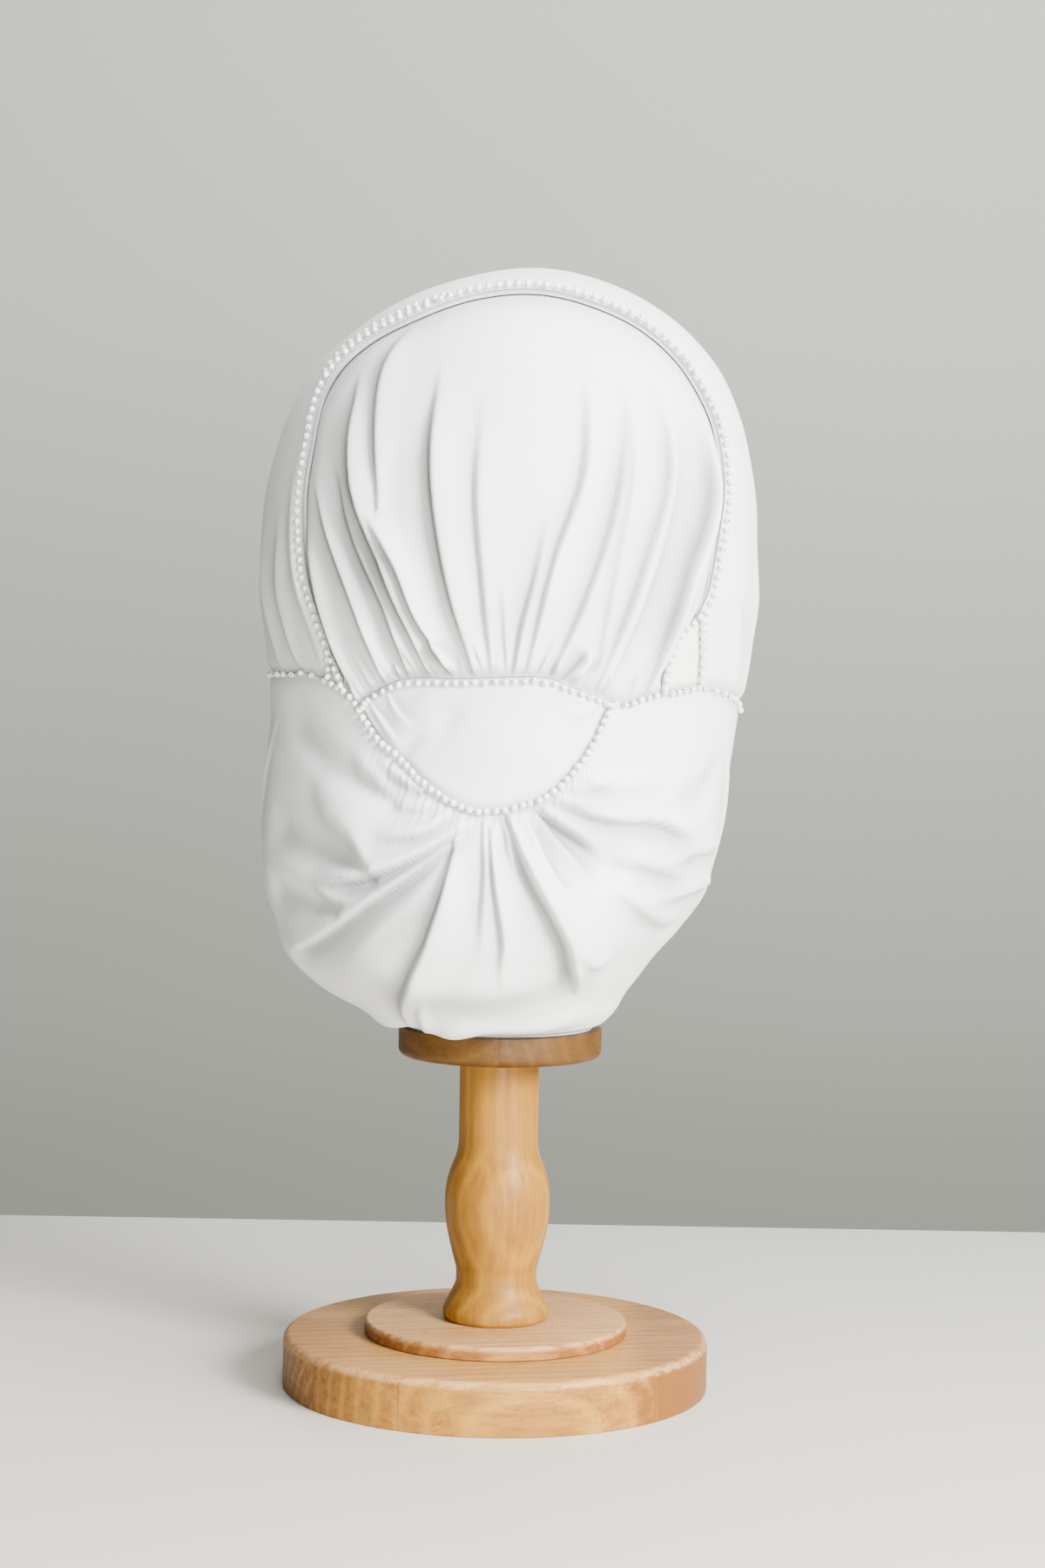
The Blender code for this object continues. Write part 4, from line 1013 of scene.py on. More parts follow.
@dataclass(frozen=True)
class ClothFinish:
    """Crepe-backed satin: a fine weave, a slow change of tone and a soft sheen.

    Painted shade: where the cloth tucks under a fold or into a seam, its colour is
    darkened towards a deep tone that stands in for the shade there.
    """

    name: str
    colour: tuple[float, float, float]
    shade: tuple[float, float, float]
    # painted shade: the colour that creases and seams are darkened towards, and how far
    painted_shade: tuple[float, float, float] = (0.05, 0.056, 0.056)
    painted_shade_share: float = 0.92
    threads: float = 2600.0
    roughness: float = 0.5
    sheen: float = 0.12
    weave_height: float = 0.00002
    rumple_height: float = 0.00022

    def material(self, effects: SharedEffects) -> bpy.types.Material:
        """Return the cloth's material, with its weave on the cloth's own UV map."""
        nodes, material, shader = new_material(self.name)
        places = nodes.add("ShaderNodeTexCoord")
        weave = nodes.group(effects.weave, {"Vector": places.outputs["UV"],
                                            "Threads": self.threads})
        tone = nodes.group(effects.tone, {"Vector": places.outputs["Object"]})
        mottle = nodes.math("MULTIPLY_ADD", weave.outputs["Shade"], 0.25,
                            nodes.math("MULTIPLY", tone.outputs["Tone"], 0.6))
        # painted shade: the panels' per-point mask darkens the base colour in creases and seams
        painted_shade_mask = nodes.add("ShaderNodeAttribute", attribute_name="painted_shade_mask")
        painted_shade = nodes.math("MULTIPLY", painted_shade_mask.outputs["Fac"], self.painted_shade_share)
        rumple = nodes.bump(0.5, self.rumple_height, tone.outputs["Height"])
        nodes.fill(shader, {
            "Base Color": nodes.mix(painted_shade, nodes.mix(mottle, self.colour, self.shade), self.painted_shade),
            "Roughness": nodes.spread(tone.outputs["Tone"], 0.0, 1.0, self.roughness - 0.05,
                                      self.roughness + 0.05),
            "Normal": nodes.bump(0.6, self.weave_height, weave.outputs["Height"], rumple),
            "Sheen Weight": self.sheen, "Sheen Roughness": 0.4, "Specular IOR Level": 0.35})
        return material


@dataclass(frozen=True)
class BeadFinish:
    """Pearly glass: a clear gloss over white, with a faint warm and cool drift."""

    name: str = "seed_bead_pearl"
    warm: tuple[float, float, float] = (0.86, 0.83, 0.78)
    cool: tuple[float, float, float] = (0.82, 0.85, 0.86)

    def material(self, effects: SharedEffects) -> bpy.types.Material:
        """Return the beads' material."""
        nodes, material, shader = new_material(self.name)
        places = nodes.add("ShaderNodeTexCoord")
        tone = nodes.group(effects.tone, {"Vector": places.outputs["Object"],
                                          "Patch Scale": 260.0, "Fine Scale": 900.0})
        height = tone.outputs["Height"]
        nodes.fill(shader, {
            "Base Color": nodes.mix(tone.outputs["Tone"], self.warm, self.cool),
            "Roughness": nodes.spread(height, 0.3, 0.7, 0.14, 0.3),
            "Normal": nodes.bump(0.3, 0.00004, height),
            "Coat Weight": 0.7, "Coat Roughness": 0.08, "Specular IOR Level": 0.6})
        return material


@dataclass(frozen=True)
class ThreadFinish:
    """White sewing thread with its twist as slanting ridges."""

    name: str = "sewing_thread"
    colour: tuple[float, float, float] = (0.84, 0.84, 0.81)
    shade: tuple[float, float, float] = (0.7, 0.7, 0.67)

    def material(self, effects: SharedEffects) -> bpy.types.Material:
        """Return the thread's material."""
        nodes, material, shader = new_material(self.name)
        places = nodes.add("ShaderNodeTexCoord")
        weave = nodes.group(effects.weave, {"Vector": places.outputs["Object"],
                                            "Threads": 3400.0, "Slub": 0.5})
        shade = weave.outputs["Shade"]
        nodes.fill(shader, {
            "Base Color": nodes.mix(shade, self.colour, self.shade),
            "Roughness": nodes.spread(shade, 0.0, 1.0, 0.55, 0.7),
            "Normal": nodes.bump(0.4, 0.00005, weave.outputs["Height"]),
            "Sheen Weight": 0.2})
        return material


class Grain(Enum):
    """The way that the grain of a turned piece runs, as a turn that brings it to X."""

    ALONG_X = (0.0, 0.0, -10.9)
    ALONG_Y = (0.0, 0.0, 90.0)
    ALONG_Z = (0.0, 90.0, 0.0)


@dataclass(frozen=True)
class WoodFinish:
    """Turned rubberwood under satin varnish, with the grain along one axis."""

    name: str
    light: tuple[float, float, float]
    dark: tuple[float, float, float]
    blush: tuple[float, float, float]
    grain: Grain = Grain.ALONG_X
    pith: tuple[float, float, float] = (0.0, -0.110, 0.003)
    plank_width: float = 0.0345
    plank_shift: float = 0.0007
    own_row: float = -3.0
    ring_pitch: float = 0.0062
    pores: float = 1.0
    rim_radius: float = 1.0
    rim_dark: float = 0.0
    end_dark: float = 0.0
    pale_band_height: float = -1.0

    def material(self, effects: SharedEffects) -> bpy.types.Material:
        """Return the wood's material."""
        nodes, material, shader = new_material(self.name)
        places = nodes.add("ShaderNodeTexCoord")
        turn = tuple(math.radians(angle) for angle in self.grain.value)
        laid = nodes.add("ShaderNodeMapping", {0: places.outputs["Object"], 2: turn})
        grain = nodes.group(effects.grain, {
            "Place": places.outputs["Object"], "Grain": laid.outputs[0], "Pith": self.pith,
            "Plank Width": self.plank_width, "Plank Shift": self.plank_shift,
            "Own Row": self.own_row, "Ring Pitch": self.ring_pitch, "Pores": self.pores,
            "Rim Radius": self.rim_radius, "Rim Dark": self.rim_dark,
            "End Dark": self.end_dark, "Pale Band Height": self.pale_band_height,
            "Light": self.light, "Dark": self.dark, "Blush": self.blush})
        nodes.fill(shader, {
            "Base Color": grain.outputs["Color"], "Roughness": grain.outputs["Roughness"],
            "Normal": nodes.bump(0.35, 0.00012, grain.outputs["Height"]),
            "Coat Weight": 0.05, "Coat Roughness": 0.38, "Specular IOR Level": 0.16})
        return material


@dataclass(frozen=True)
class StudioFinish:
    """A pale matt surface with a faint cloudiness, darkened along one axis by painted shade."""

    name: str
    colour: tuple[float, float, float]
    shade: tuple[float, float, float]
    axis: int
    start: float
    end: float
    roughness: float = 0.7

    def material(self, effects: SharedEffects) -> bpy.types.Material:
        """Return the material of the table or the backdrop."""
        nodes, material, shader = new_material(self.name)
        places = nodes.add("ShaderNodeTexCoord")
        tone = nodes.group(effects.tone, {"Vector": places.outputs["Object"],
                                          "Patch Scale": 2.2, "Fine Scale": 40.0})
        parts = nodes.add("ShaderNodeSeparateXYZ", {0: places.outputs["Object"]})
        # painted shade: the colour goes towards the shade tone along the axis
        fade = nodes.spread(parts.outputs[self.axis], self.start, self.end, 0.0, 1.0)
        fade = nodes.math("MULTIPLY_ADD", tone.outputs["Tone"], 0.04, fade)
        nodes.fill(shader, {"Base Color": nodes.mix(fade, self.colour, self.shade),
                            "Roughness": self.roughness})
        return material


@dataclass
class ClothPanel:
    """A closed wall of cloth on the form, with folds, swells and sunk seams."""

    name: str
    node: str
    slot: str
    held: str
    flat: tuple[float, float]
    flat_area: float
    rests_on: tuple[str, ...]
    wall: float = 2.0
    seam_gap: float = 0.08
    seam_sink: float = 1.4
    seam_reach: float = 3.2
    gather_reach: float = 9.0
    gather_height: float = 0.0
    # painted shade: darkening of the colour under the folds and beside the seams
    painted_shade_scale: float = 0.9
    seam_painted_shade: float = 0.45
    ring: bool = False

    def grid(self) -> Array:
        """Return the panel's points on the form, rows along its first edge."""
        raise NotImplementedError

    def folds(self) -> list[Fold]:
        """Return the panel's creases."""
        return []

    def swells(self) -> Rows:
        """Return the panel's broad rises and hollows."""
        return ()

    @staticmethod
    def between(first: Array, last: Array, columns: int) -> Array:
        """Return a grid from seam to seam, with the shortest ways as its end rows."""
        start = FORM.straight(first[0], last[0], columns)
        end = FORM.straight(first[-1], last[-1], columns)
        return FORM.patch(first, last, start, end)

    def edge_distances(self, grid: Array) -> tuple[Array, Array]:
        """Return each point's distance from the first edge and from the nearest edge."""
        from_first = row_length(grid)
        nearest = np.minimum(from_first, from_first[:, -1:] - from_first)
        if not self.ring:
            start = row_length(grid.swapaxes(0, 1)).T
            nearest = np.minimum(nearest, np.minimum(start, start[-1:] - start))
        return from_first, nearest

    def gathers(self, grid: Array, from_first: Array) -> Array:
        """Return fine ripples that start at the first edge and die away from it."""
        along = run_length(grid[:, 0])[:, None]
        waves = ((3.1, 0.4), (4.7, 2.1), (7.9, 4.4))
        fade = np.exp(-from_first / self.gather_reach)
        return self.gather_height * ripple(along, waves) * fade

    def relief(self, grid: Array, normals: Array) -> tuple[Array, Array]:
        """Return the whole lift and painted shade: folds, swells, gathers and sunk seams.

        The held share goes from 0 at an edge to 1 inside, 1 − exp(−(distance/reach)²).
        Everything else is scaled by it, and the seams sink by what is left. Painted shade
        darkens the seams by what is left too, and the shares of colour that the folds'
        painted shades leave undarkened are multiplied.
        """
        from_first, nearest = self.edge_distances(grid)
        held = 1.0 - np.exp(-((nearest / self.seam_reach) ** 2))
        lift = swell_lift(grid, self.swells()) + self.gathers(grid, from_first)
        # painted shade near the seams, and below under each fold
        unshaded_share = 1.0 - self.seam_painted_shade * (1.0 - held)
        for fold in self.folds():
            rise, painted_shade_mask = fold.lift(grid, normals)
            lift += rise
            unshaded_share *= 1.0 - self.painted_shade_scale * painted_shade_mask
        return lift * held - self.seam_sink * (1.0 - held), 1.0 - unshaded_share

    def square_inset(self, edge: Array, beside: Array) -> Array:
        """Return an edge moved square to itself towards the points beside it."""
        tangent = unit(np.gradient(edge, axis=0))
        way = beside - edge
        square = way - (way * tangent).sum(1, keepdims=True) * tangent
        step = np.minimum(self.seam_gap, 0.3 * np.linalg.norm(square, axis=1))
        return edge + unit(square) * step[:, None]

    def inset(self, grid: Array) -> Array:
        """Draw the grid's edges in by half the gap that the seams keep."""
        out = grid.copy()
        out[:, 0] = self.square_inset(grid[:, 0], grid[:, 1])
        out[:, -1] = self.square_inset(grid[:, -1], grid[:, -2])
        if not self.ring:
            base = out.copy()
            out[0] = self.square_inset(base[0], base[1])
            out[-1] = self.square_inset(base[-1], base[-2])
        return out

    def surface(self) -> tuple[Array, Array, Array]:
        """Return the draped outer grid, the outward normals below it and the painted shade."""
        grid = self.inset(self.grid())
        normals = FORM.normals(grid)
        lift, painted_shade_mask = self.relief(grid, normals)
        return grid + normals * lift[..., None], normals, painted_shade_mask

    @staticmethod
    def cloth_places(grid: Array) -> Array:
        """Return a UV place in metres for each point: lengths along and across."""
        along = run_length(grid[:, grid.shape[1] // 2])[:, None]
        across = row_length(grid)
        return np.stack([np.broadcast_to(along, across.shape), across], -1) * MM

    def wall_quads(self, rows: int, columns: int) -> Array:
        """Return the quads of an outer grid, its inner copy and the rims between."""
        index = np.arange(rows * columns).reshape(rows, columns)
        if self.ring:
            index = np.vstack([index, index[:1]])
        below = rows * columns
        outer = np.stack([index[:-1, :-1], index[1:, :-1], index[1:, 1:], index[:-1, 1:]], -1)
        outer = outer.reshape(-1, 4)
        faces = [outer, outer[:, ::-1] + below]
        edges = [index[:, 0][::-1], index[:, -1]]
        if not self.ring:
            edges += [index[0], index[-1][::-1]]
        for edge in edges:
            faces.append(np.stack([edge[1:], edge[:-1], edge[:-1] + below, edge[1:] + below], -1))
        return np.vstack(faces)

    def build(self, finish: bpy.types.Material) -> bpy.types.Object:
        """Make the panel, dress it and let it stand for its node."""
        outer, normals, painted_shade_mask = self.surface()
        inner = outer - normals * self.wall
        rows, columns = outer.shape[:2]
        places = self.cloth_places(outer).reshape(-1, 2)
        vertices = np.vstack([outer.reshape(-1, 3), inner.reshape(-1, 3)])
        quads = self.wall_quads(rows, columns)
        piece = add_object(self.name, vertices, quads, finish, np.vstack([places, places]))
        # the painted shade goes on each point, for the cloth's material to darken creases and
        # seams
        layer = piece.data.attributes.new("painted_shade_mask", "FLOAT", "POINT")
        layer.data.foreach_set("value", np.tile(painted_shade_mask.ravel(), 2).astype(np.float32))
        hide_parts(self.node)
        a, b, c, d = (vertices[quads[:, k]] for k in range(4))
        area = 0.25 * np.linalg.norm(np.cross(c - a, d - b), axis=1).sum() * 1e-6
        LOG.info("%s: %d quads, cloth %.4f m2", self.name, len(quads), area)
        return piece


@dataclass
class CrownPanel(ClothPanel):
    """The back panel, gathered at the yoke and fanned out to the band's seam."""

    columns: int = 168
    tuck_depth: float = 2.6
    tuck_reach: float = 13.0
    # painted shade along the band's edge, where the crown sinks under it
    band_edge_painted_shade: float = 0.28
    tuck_from: float = 12.0

    def grid(self) -> Array:
        """Return rows that fan out from the yoke to the seam over the top."""
        foot = SEAMS.off_corner(SEAMS.crown_foot(), 0.6, 0.6)
        over = SEAMS.off_corner(SEAMS.crown_over(), 0.6, 0.6)
        return self.between(foot, over, self.columns)

    def folds(self) -> list[Fold]:
        """Return the long pleats and the short gathers at the yoke."""
        return folds_from(CROWN_FOLDS + CROWN_GATHERS, by_arc=False)

    def swells(self) -> Rows:
        """Return the shaded hollows beside the outer pleats."""
        return CROWN_SWELLS

    def relief(self, grid: Array, normals: Array) -> tuple[Array, Array]:
        """Sink the panel under the band's edge, by depth·exp(−(distance/reach)²), and paint shade
        there.
        """
        from_first, _ = self.edge_distances(grid)
        from_band = from_first[:, -1:] - from_first
        sunk = ease(from_first / self.tuck_from)
        sunk = sunk * np.exp(-((from_band / self.tuck_reach) ** 2))
        lift, painted_shade_mask = super().relief(grid, normals)
        return lift - self.tuck_depth * sunk, np.maximum(painted_shade_mask, self.band_edge_painted_shade * sunk)


@dataclass
class FrontBand(ClothPanel):
    """The wide smooth band from the crown's seam over the top to the face opening."""

    columns: int = 150
    hem_inset: float = 6.0
    hem_groove: float = 0.4
    hem_width: float = 0.8

    def grid(self) -> Array:
        """Return rows from the crown's seam to the face edge."""
        back = SEAMS.band_back()
        left, right = SEAMS.band_feet()
        left = SEAMS.fit(left, self.columns)
        right = SEAMS.fit(right, self.columns)
        return FORM.patch(back, SEAMS.face(len(back)), left, right)

    def folds(self) -> list[Fold]:
        """Return the band's few soft creases."""
        return folds_from(BAND_FOLDS, by_arc=True)

    def swells(self) -> Rows:
        """Return the soft fullness of both sides."""
        return BAND_SWELLS

    def relief(self, grid: Array, normals: Array) -> tuple[Array, Array]:
        """Add the sewn groove of the hem at the face edge."""
        run = row_length(grid)
        off = run[:, -1:] - run - self.hem_inset
        lift, painted_shade_mask = super().relief(grid, normals)
        return lift - self.hem_groove * np.exp(-((off / self.hem_width) ** 2)), painted_shade_mask


@dataclass
class NapeYoke(ClothPanel):
    """The plain half moon at the nape, with soft dimples and a few gathers."""

    columns: int = 64
    dimples: Rows = (
        # arc, height, turn, along, across, lift
        (-22.0, 269.0, 60.0, 7.0, 4.5, -1.2),
        (-38.0, 259.0, 40.0, 8.0, 3.5, -1.4),
        (-32.0, 276.0, 20.0, 8.0, 3.0, 0.9),
        (2.0, 260.0, 0.0, 24.0, 12.0, 1.4),
    )

    def grid(self) -> Array:
        """Return rows from the bag's seam up to the crown's seam."""
        foot = SEAMS.off_corner(SEAMS.yoke_foot(), 0.8, 0.8)
        top = SEAMS.off_corner(SEAMS.yoke_top(), 0.8, 0.8)
        return self.between(foot, top, self.columns)

    def folds(self) -> list[Fold]:
        """Return the small pulls at the left corner."""
        table = (
            (-50, 275, -46, 270, -43, 266, -38, 260, 1.7, 2.8, 2.0, 0.5, 0.5, Lap.RIGHT),
            (-52, 273, -48, 267, -45, 262, -41, 258, 1.5, 2.4, 1.8, 0.5, 0.5, Lap.RIGHT),
            (-44, 280, -41, 275, -38, 271, -32, 266, 1.3, 2.8, 2.0, 0.6, 0.5, Lap.RIGHT),
            (37, 277, 32, 273, 28, 271, 20, 270, 0.9, 2.8, 2.4, 0.8, 0.5, Lap.RIGHT),
        )
        return folds_from(table, by_arc=False)

    def swells(self) -> Rows:
        """Return the dimples and the soft fullness."""
        return self.dimples


@dataclass
class Gusset(ClothPanel):
    """A small ivory triangle let in between the crown and the band."""

    inner: Rows = ()
    outer: Rows = ()
    steps: int = 60
    columns: int = 26

    def grid(self) -> Array:
        """Return rows from the crown's side to the band's side, short of the apex."""
        inner = SEAMS.off_corner(SEAMS.back(self.inner, self.steps), 1.6, 0.0)
        outer = SEAMS.off_corner(SEAMS.back(self.outer, self.steps), 1.6, 0.0)
        return self.between(inner, outer, self.columns)


@dataclass
class NeckBag(ClothPanel):
    """The puffed bag from the seams at the nape round to the hem on the stand."""

    columns: int = 86
    hem_height: float = 145.3
    early_fall: float = 1.35
    gathers_middle: float = -2.0
    gathers_end: float = 34.0
    gathers_fade: float = 10.0

    def grid(self) -> Array:
        """Return a ring of rows that run from the top edge down to the hem.

        The height falls by 1 − (1 − part)^early_fall of the way, and the angle goes
        evenly from the top edge's own to that of an evenly spaced hem.
        """
        top = SEAMS.bag_top()
        top_turn = np.degrees(np.unwrap(np.radians(FORM.azimuth(top))))
        top_turn += -180.0 - top_turn[0]
        hem_turn = np.degrees(self.hem_turns(top))
        part = np.linspace(0.0, 1.0, self.columns)[None, :]
        turn = top_turn[:, None] + (hem_turn - top_turn)[:, None] * part
        fall = 1.0 - (1.0 - part) ** self.early_fall
        height = top[:, 2:] + (FORM_ROWS[-1][0] - top[:, 2:]) * fall
        return FORM.on_azimuth(turn, height)

    @staticmethod
    def hem_turns(top: Array) -> Array:
        """Return the hem's angles, spread half evenly and half as the top's lengths are."""
        closed = run_length(np.vstack([top, top[:1]]))
        by_length = closed[:-1] / closed[-1]
        by_count = np.linspace(0.0, 1.0, len(top), endpoint=False)
        return (0.5 * (by_length + by_count)) * 2.0 * math.pi - math.pi

    def folds(self) -> list[Fold]:
        """Return the gathers that fan out from the yoke and the folds further round."""
        return folds_from(BAG_FOLDS + BAG_FAR_FOLDS, by_arc=True)

    def swells(self) -> Rows:
        """Return the puffs and hollows between the folds."""
        return BAG_SWELLS

    def gathers(self, grid: Array, from_first: Array) -> Array:
        """Keep the fine ripples to the part below the yoke."""
        away = np.abs(FORM.azimuth(grid[:, 0])[:, None] - self.gathers_middle)
        kept = ease((self.gathers_end - away) / self.gathers_fade)
        return super().gathers(grid, from_first) * kept

    def surface(self) -> tuple[Array, Array, Array]:
        """Set the hem's edge to its height over the stand's top."""
        outer, normals, painted_shade_mask = super().surface()
        outer[:, -1, 2] = self.hem_height
        return outer, normals, painted_shade_mask


@dataclass(frozen=True)
class SeamRun:
    """A stretch of a seam as points, outward normals and the way to its right."""

    line: Array
    normals: Array
    right: Array

    @classmethod
    def along(cls, line: Array, offset_start: float = 0.0, offset_end: float = 0.0) -> "SeamRun":
        """Lay a run beside a seam.

        Args:
            line: The seam's points.
            offset_start: Millimetres to the right of the seam at its start.
            offset_end: The same at its end.

        Returns:
            The run, back on the form.
        """
        offset = np.linspace(offset_start, offset_end, len(line))[:, None]
        right = unit(np.cross(unit(np.gradient(line, axis=0)), FORM.normals(line)))
        moved = FORM.cast(FORM.ways_to(line + right * offset))
        return cls(moved, FORM.normals(moved), right)

    def places(self, spacing: float, scatter: float, seed: int) -> tuple[Array, Array, Array,
                                                                        Array]:
        """Return points at a spacing with a little scatter, and the ways at each.

        Args:
            spacing: Millimetres from one to the next.
            scatter: Most that a point strays from its place.
            seed: Start of the chance numbers.

        Returns:
            Points, tangents, normals and the ways to the right.
        """
        chance = np.random.default_rng(seed)
        length = run_length(self.line)
        count = max(1, int(round(length[-1] / spacing)))
        at = (np.arange(count) + 0.5) * length[-1] / count
        at = at + chance.uniform(-scatter, scatter, count)
        tangent = unit(np.gradient(self.line, axis=0))
        point, tangent, normal, right = (
            sample(values, length, at)
            for values in (self.line, tangent, self.normals, self.right))
        point = point + right * chance.uniform(-scatter, scatter, (count, 1))
        return point, unit(tangent), unit(normal), unit(right)


@dataclass(frozen=True)
class BeadRow:
    """Round seed beads sewn along a seam, as one joined mesh of small rings."""

    name: str
    run: SeamRun
    seed: int
    spacing: float = 3.75
    radius: float = 1.22
    length: float = 2.2
    lift: float = -0.5
    scatter: float = 0.3
    lean: float = 0.5
    around: int = 12
    through: int = 6

    def ring(self) -> tuple[Array, Array]:
        """Return one bead round Z and its quads: a tube bent round a small hole.

        A point is ((middle + thick·cos v)·cos u, the same·sin u, half length·sin v).
        """
        u = np.linspace(0.0, 2.0 * math.pi, self.around, endpoint=False)[:, None]
        v = np.linspace(0.0, 2.0 * math.pi, self.through, endpoint=False)[None, :]
        hole = 0.26 * self.radius
        thick = 0.5 * (self.radius - hole)
        out = hole + thick + thick * np.cos(v)
        x, y = out * np.cos(u), out * np.sin(u)
        z = np.broadcast_to(0.5 * self.length * np.sin(v), x.shape)
        index = np.arange(self.around * self.through).reshape(self.around, self.through)
        after_u, after_v = np.roll(index, -1, 0), np.roll(index, -1, 1)
        both = np.roll(after_u, -1, 1)
        quads = np.stack([index, after_u, both, after_v], -1).reshape(-1, 4)
        return np.stack([x, y, z], -1).reshape(-1, 3), quads

    def build(self, finish: bpy.types.Material) -> bpy.types.Object:
        """Set a bead on every place of the run, its hole near the seam's way."""
        points, tangent, normal, right = self.run.places(self.spacing, self.scatter, self.seed)
        chance = np.random.default_rng(self.seed + 1)
        lean = chance.normal(0.0, self.lean, (2, len(points), 1))
        size = chance.uniform(0.9, 1.08, (len(points), 1, 1))
        axis = unit(tangent + right * lean[0] + normal * lean[1])
        side = unit(np.cross(axis, normal + 0.01 * tangent))
        third = np.cross(axis, side)
        shape, quads = self.ring()
        centre = points + normal * (self.lift + self.radius)
        frame_of = np.stack([side, third, axis], 1)
        vertices = centre[:, None] + size * (shape[None] @ frame_of)
        piece = add_copies(self.name, vertices, quads, finish)
        LOG.info("%s: %d beads", self.name, len(points))
        return piece


@dataclass(frozen=True)
class StitchRow:
    """Hand stitches between the beads, as one joined mesh of short bent threads."""

    name: str
    run: SeamRun
    seed: int
    spacing: float = 1.85
    stitch: float = 1.7
    thread: float = 0.17
    rise: float = 0.35
    lift: float = -1.45
    scatter: float = 0.18
    lean: float = 0.3
    sides: int = 6
    rings: int = 5

    def thread_shape(self) -> tuple[Array, Array]:
        """Return one stitch along X and its quads.

        Its middle line is an arch of height rise·(1 − (2t − 1)²), with a thinner start
        and end, and each end is closed by two quads.
        """
        t = np.linspace(0.0, 1.0, self.rings)[:, None]
        turn = np.linspace(0.0, 2.0 * math.pi, self.sides, endpoint=False)[None, :]
        thick = self.thread * (0.45 + 0.55 * np.sin(math.pi * t) ** 0.5)
        x = np.broadcast_to((t - 0.5) * self.stitch, (self.rings, self.sides))
        y = thick * np.cos(turn)
        z = self.rise * (1.0 - (2.0 * t - 1.0) ** 2) + thick * np.sin(turn)
        index = np.arange(self.rings * self.sides).reshape(self.rings, self.sides)
        quads = tube_quads(index)
        first, last = index[0], index[-1]
        ends = [first[[3, 2, 1, 0]], first[[5, 4, 3, 0]], last[[0, 1, 2, 3]], last[[0, 3, 4, 5]]]
        return np.stack([x, y, z], -1).reshape(-1, 3), np.vstack([quads, np.array(ends)])

    def build(self, finish: bpy.types.Material) -> bpy.types.Object:
        """Lay a stitch on every place of the run."""
        points, tangent, normal, right = self.run.places(self.spacing, self.scatter, self.seed)
        chance = np.random.default_rng(self.seed + 1)
        way = unit(tangent + right * chance.normal(0.0, self.lean, (len(points), 1)))
        side = unit(np.cross(normal, way))
        up = np.cross(way, side)
        shape, quads = self.thread_shape()
        centre = points + normal * self.lift
        vertices = centre[:, None] + shape[None] @ np.stack([way, side, up], 1)
        piece = add_copies(self.name, vertices, quads, finish)
        LOG.info("%s: %d stitches", self.name, len(points))
        return piece


# How the bead rows at the yoke's foot and at the band's feet differ from the others
SNUG_BEADS = {"spacing": 3.3, "radius": 1.32, "length": 2.5, "lean": 0.2}
FOOT_BEADS = {"spacing": 7.5, "radius": 1.1, "lift": -1.3}


@dataclass
class SewnTrim:
    """All beads and stitches: which seam each row follows and how far beside it."""

    hem_inset: float = 6.0
    middle: float = 0.44
    second_row: tuple[float, float] = (0.30, 0.46)
    hung_bead: Rows = ((86.0, 275.6), (86.6, 274.4), (87.2, 273.2))
    ring_bead: Rows = ((-36.9, 274.4), (-36.5, 275.2), (-36.1, 276.0))

    def runs(self) -> dict[str, SeamRun]:
        """Return the seams sewn with beads, each laid beside its line by two offsets."""
        over = SEAMS.over_top()
        middle = int(self.middle * len(over))
        start, end = (int(share * len(over)) for share in self.second_row)
        left_foot, right_foot = SEAMS.band_feet()
        left_base, right_base = SEAMS.gusset_bases()
        rows = [
            ("band_left", over[:middle], -0.3, -0.3),
            ("band_right", over[middle:], -0.6, -1.2),
            ("band_outer", over[start:end], -3.4, -3.8),
            ("yoke_top", SEAMS.yoke_top(), 1.8, 1.4),
            ("yoke_foot", SEAMS.yoke_foot(), 0.2, 0.2),
            ("bag_left", join(left_base, SEAMS.bag_left()), 0.2, 0.2),
            ("bag_right", join(SEAMS.bag_right(), right_base), 0.2, 0.2),
            ("foot_left", left_foot, -0.2, -0.2),
            ("foot_right", right_foot, 0.2, 0.2),
            ("hung_bead", FORM.on_azimuth(*np.array(self.hung_bead).T)),
            ("ring_bead", FORM.on_azimuth(*np.array(self.ring_bead).T)),
            ("gusset_right_inner", SEAMS.back(GUSSET_RIGHT_INNER, 60)),
            ("gusset_right_outer", SEAMS.back(GUSSET_RIGHT_OUTER, 60)),
            ("gusset_left_inner", SEAMS.back(GUSSET_LEFT_INNER, 30)),
            ("gusset_left_outer", SEAMS.back(GUSSET_LEFT_OUTER, 30)),
        ]
        return {name: SeamRun.along(*line) for name, *line in rows}

    def build(self, pearl: bpy.types.Material, thread: bpy.types.Material) -> None:
        """Sew a bead row and a stitch row on each seam, and the hem of the face edge."""
        for number, (name, run) in enumerate(self.runs().items()):
            foot = name.startswith("foot")
            style = FOOT_BEADS if foot else SNUG_BEADS if name == "yoke_foot" else {}
            BeadRow("beads_" + name, run, 11 + 3 * number, **style).build(pearl)
            if not foot and not name.endswith("_bead"):
                StitchRow("stitches_" + name, run, 61 + 3 * number).build(thread)
        face = SEAMS.face(len(SEAMS.band_back()))
        hem = SeamRun.along(face, self.hem_inset, self.hem_inset)
        StitchRow("stitches_face_hem", hem, 131, spacing=3.0, lift=-0.45, scatter=0.05,
                  lean=0.04).build(thread)


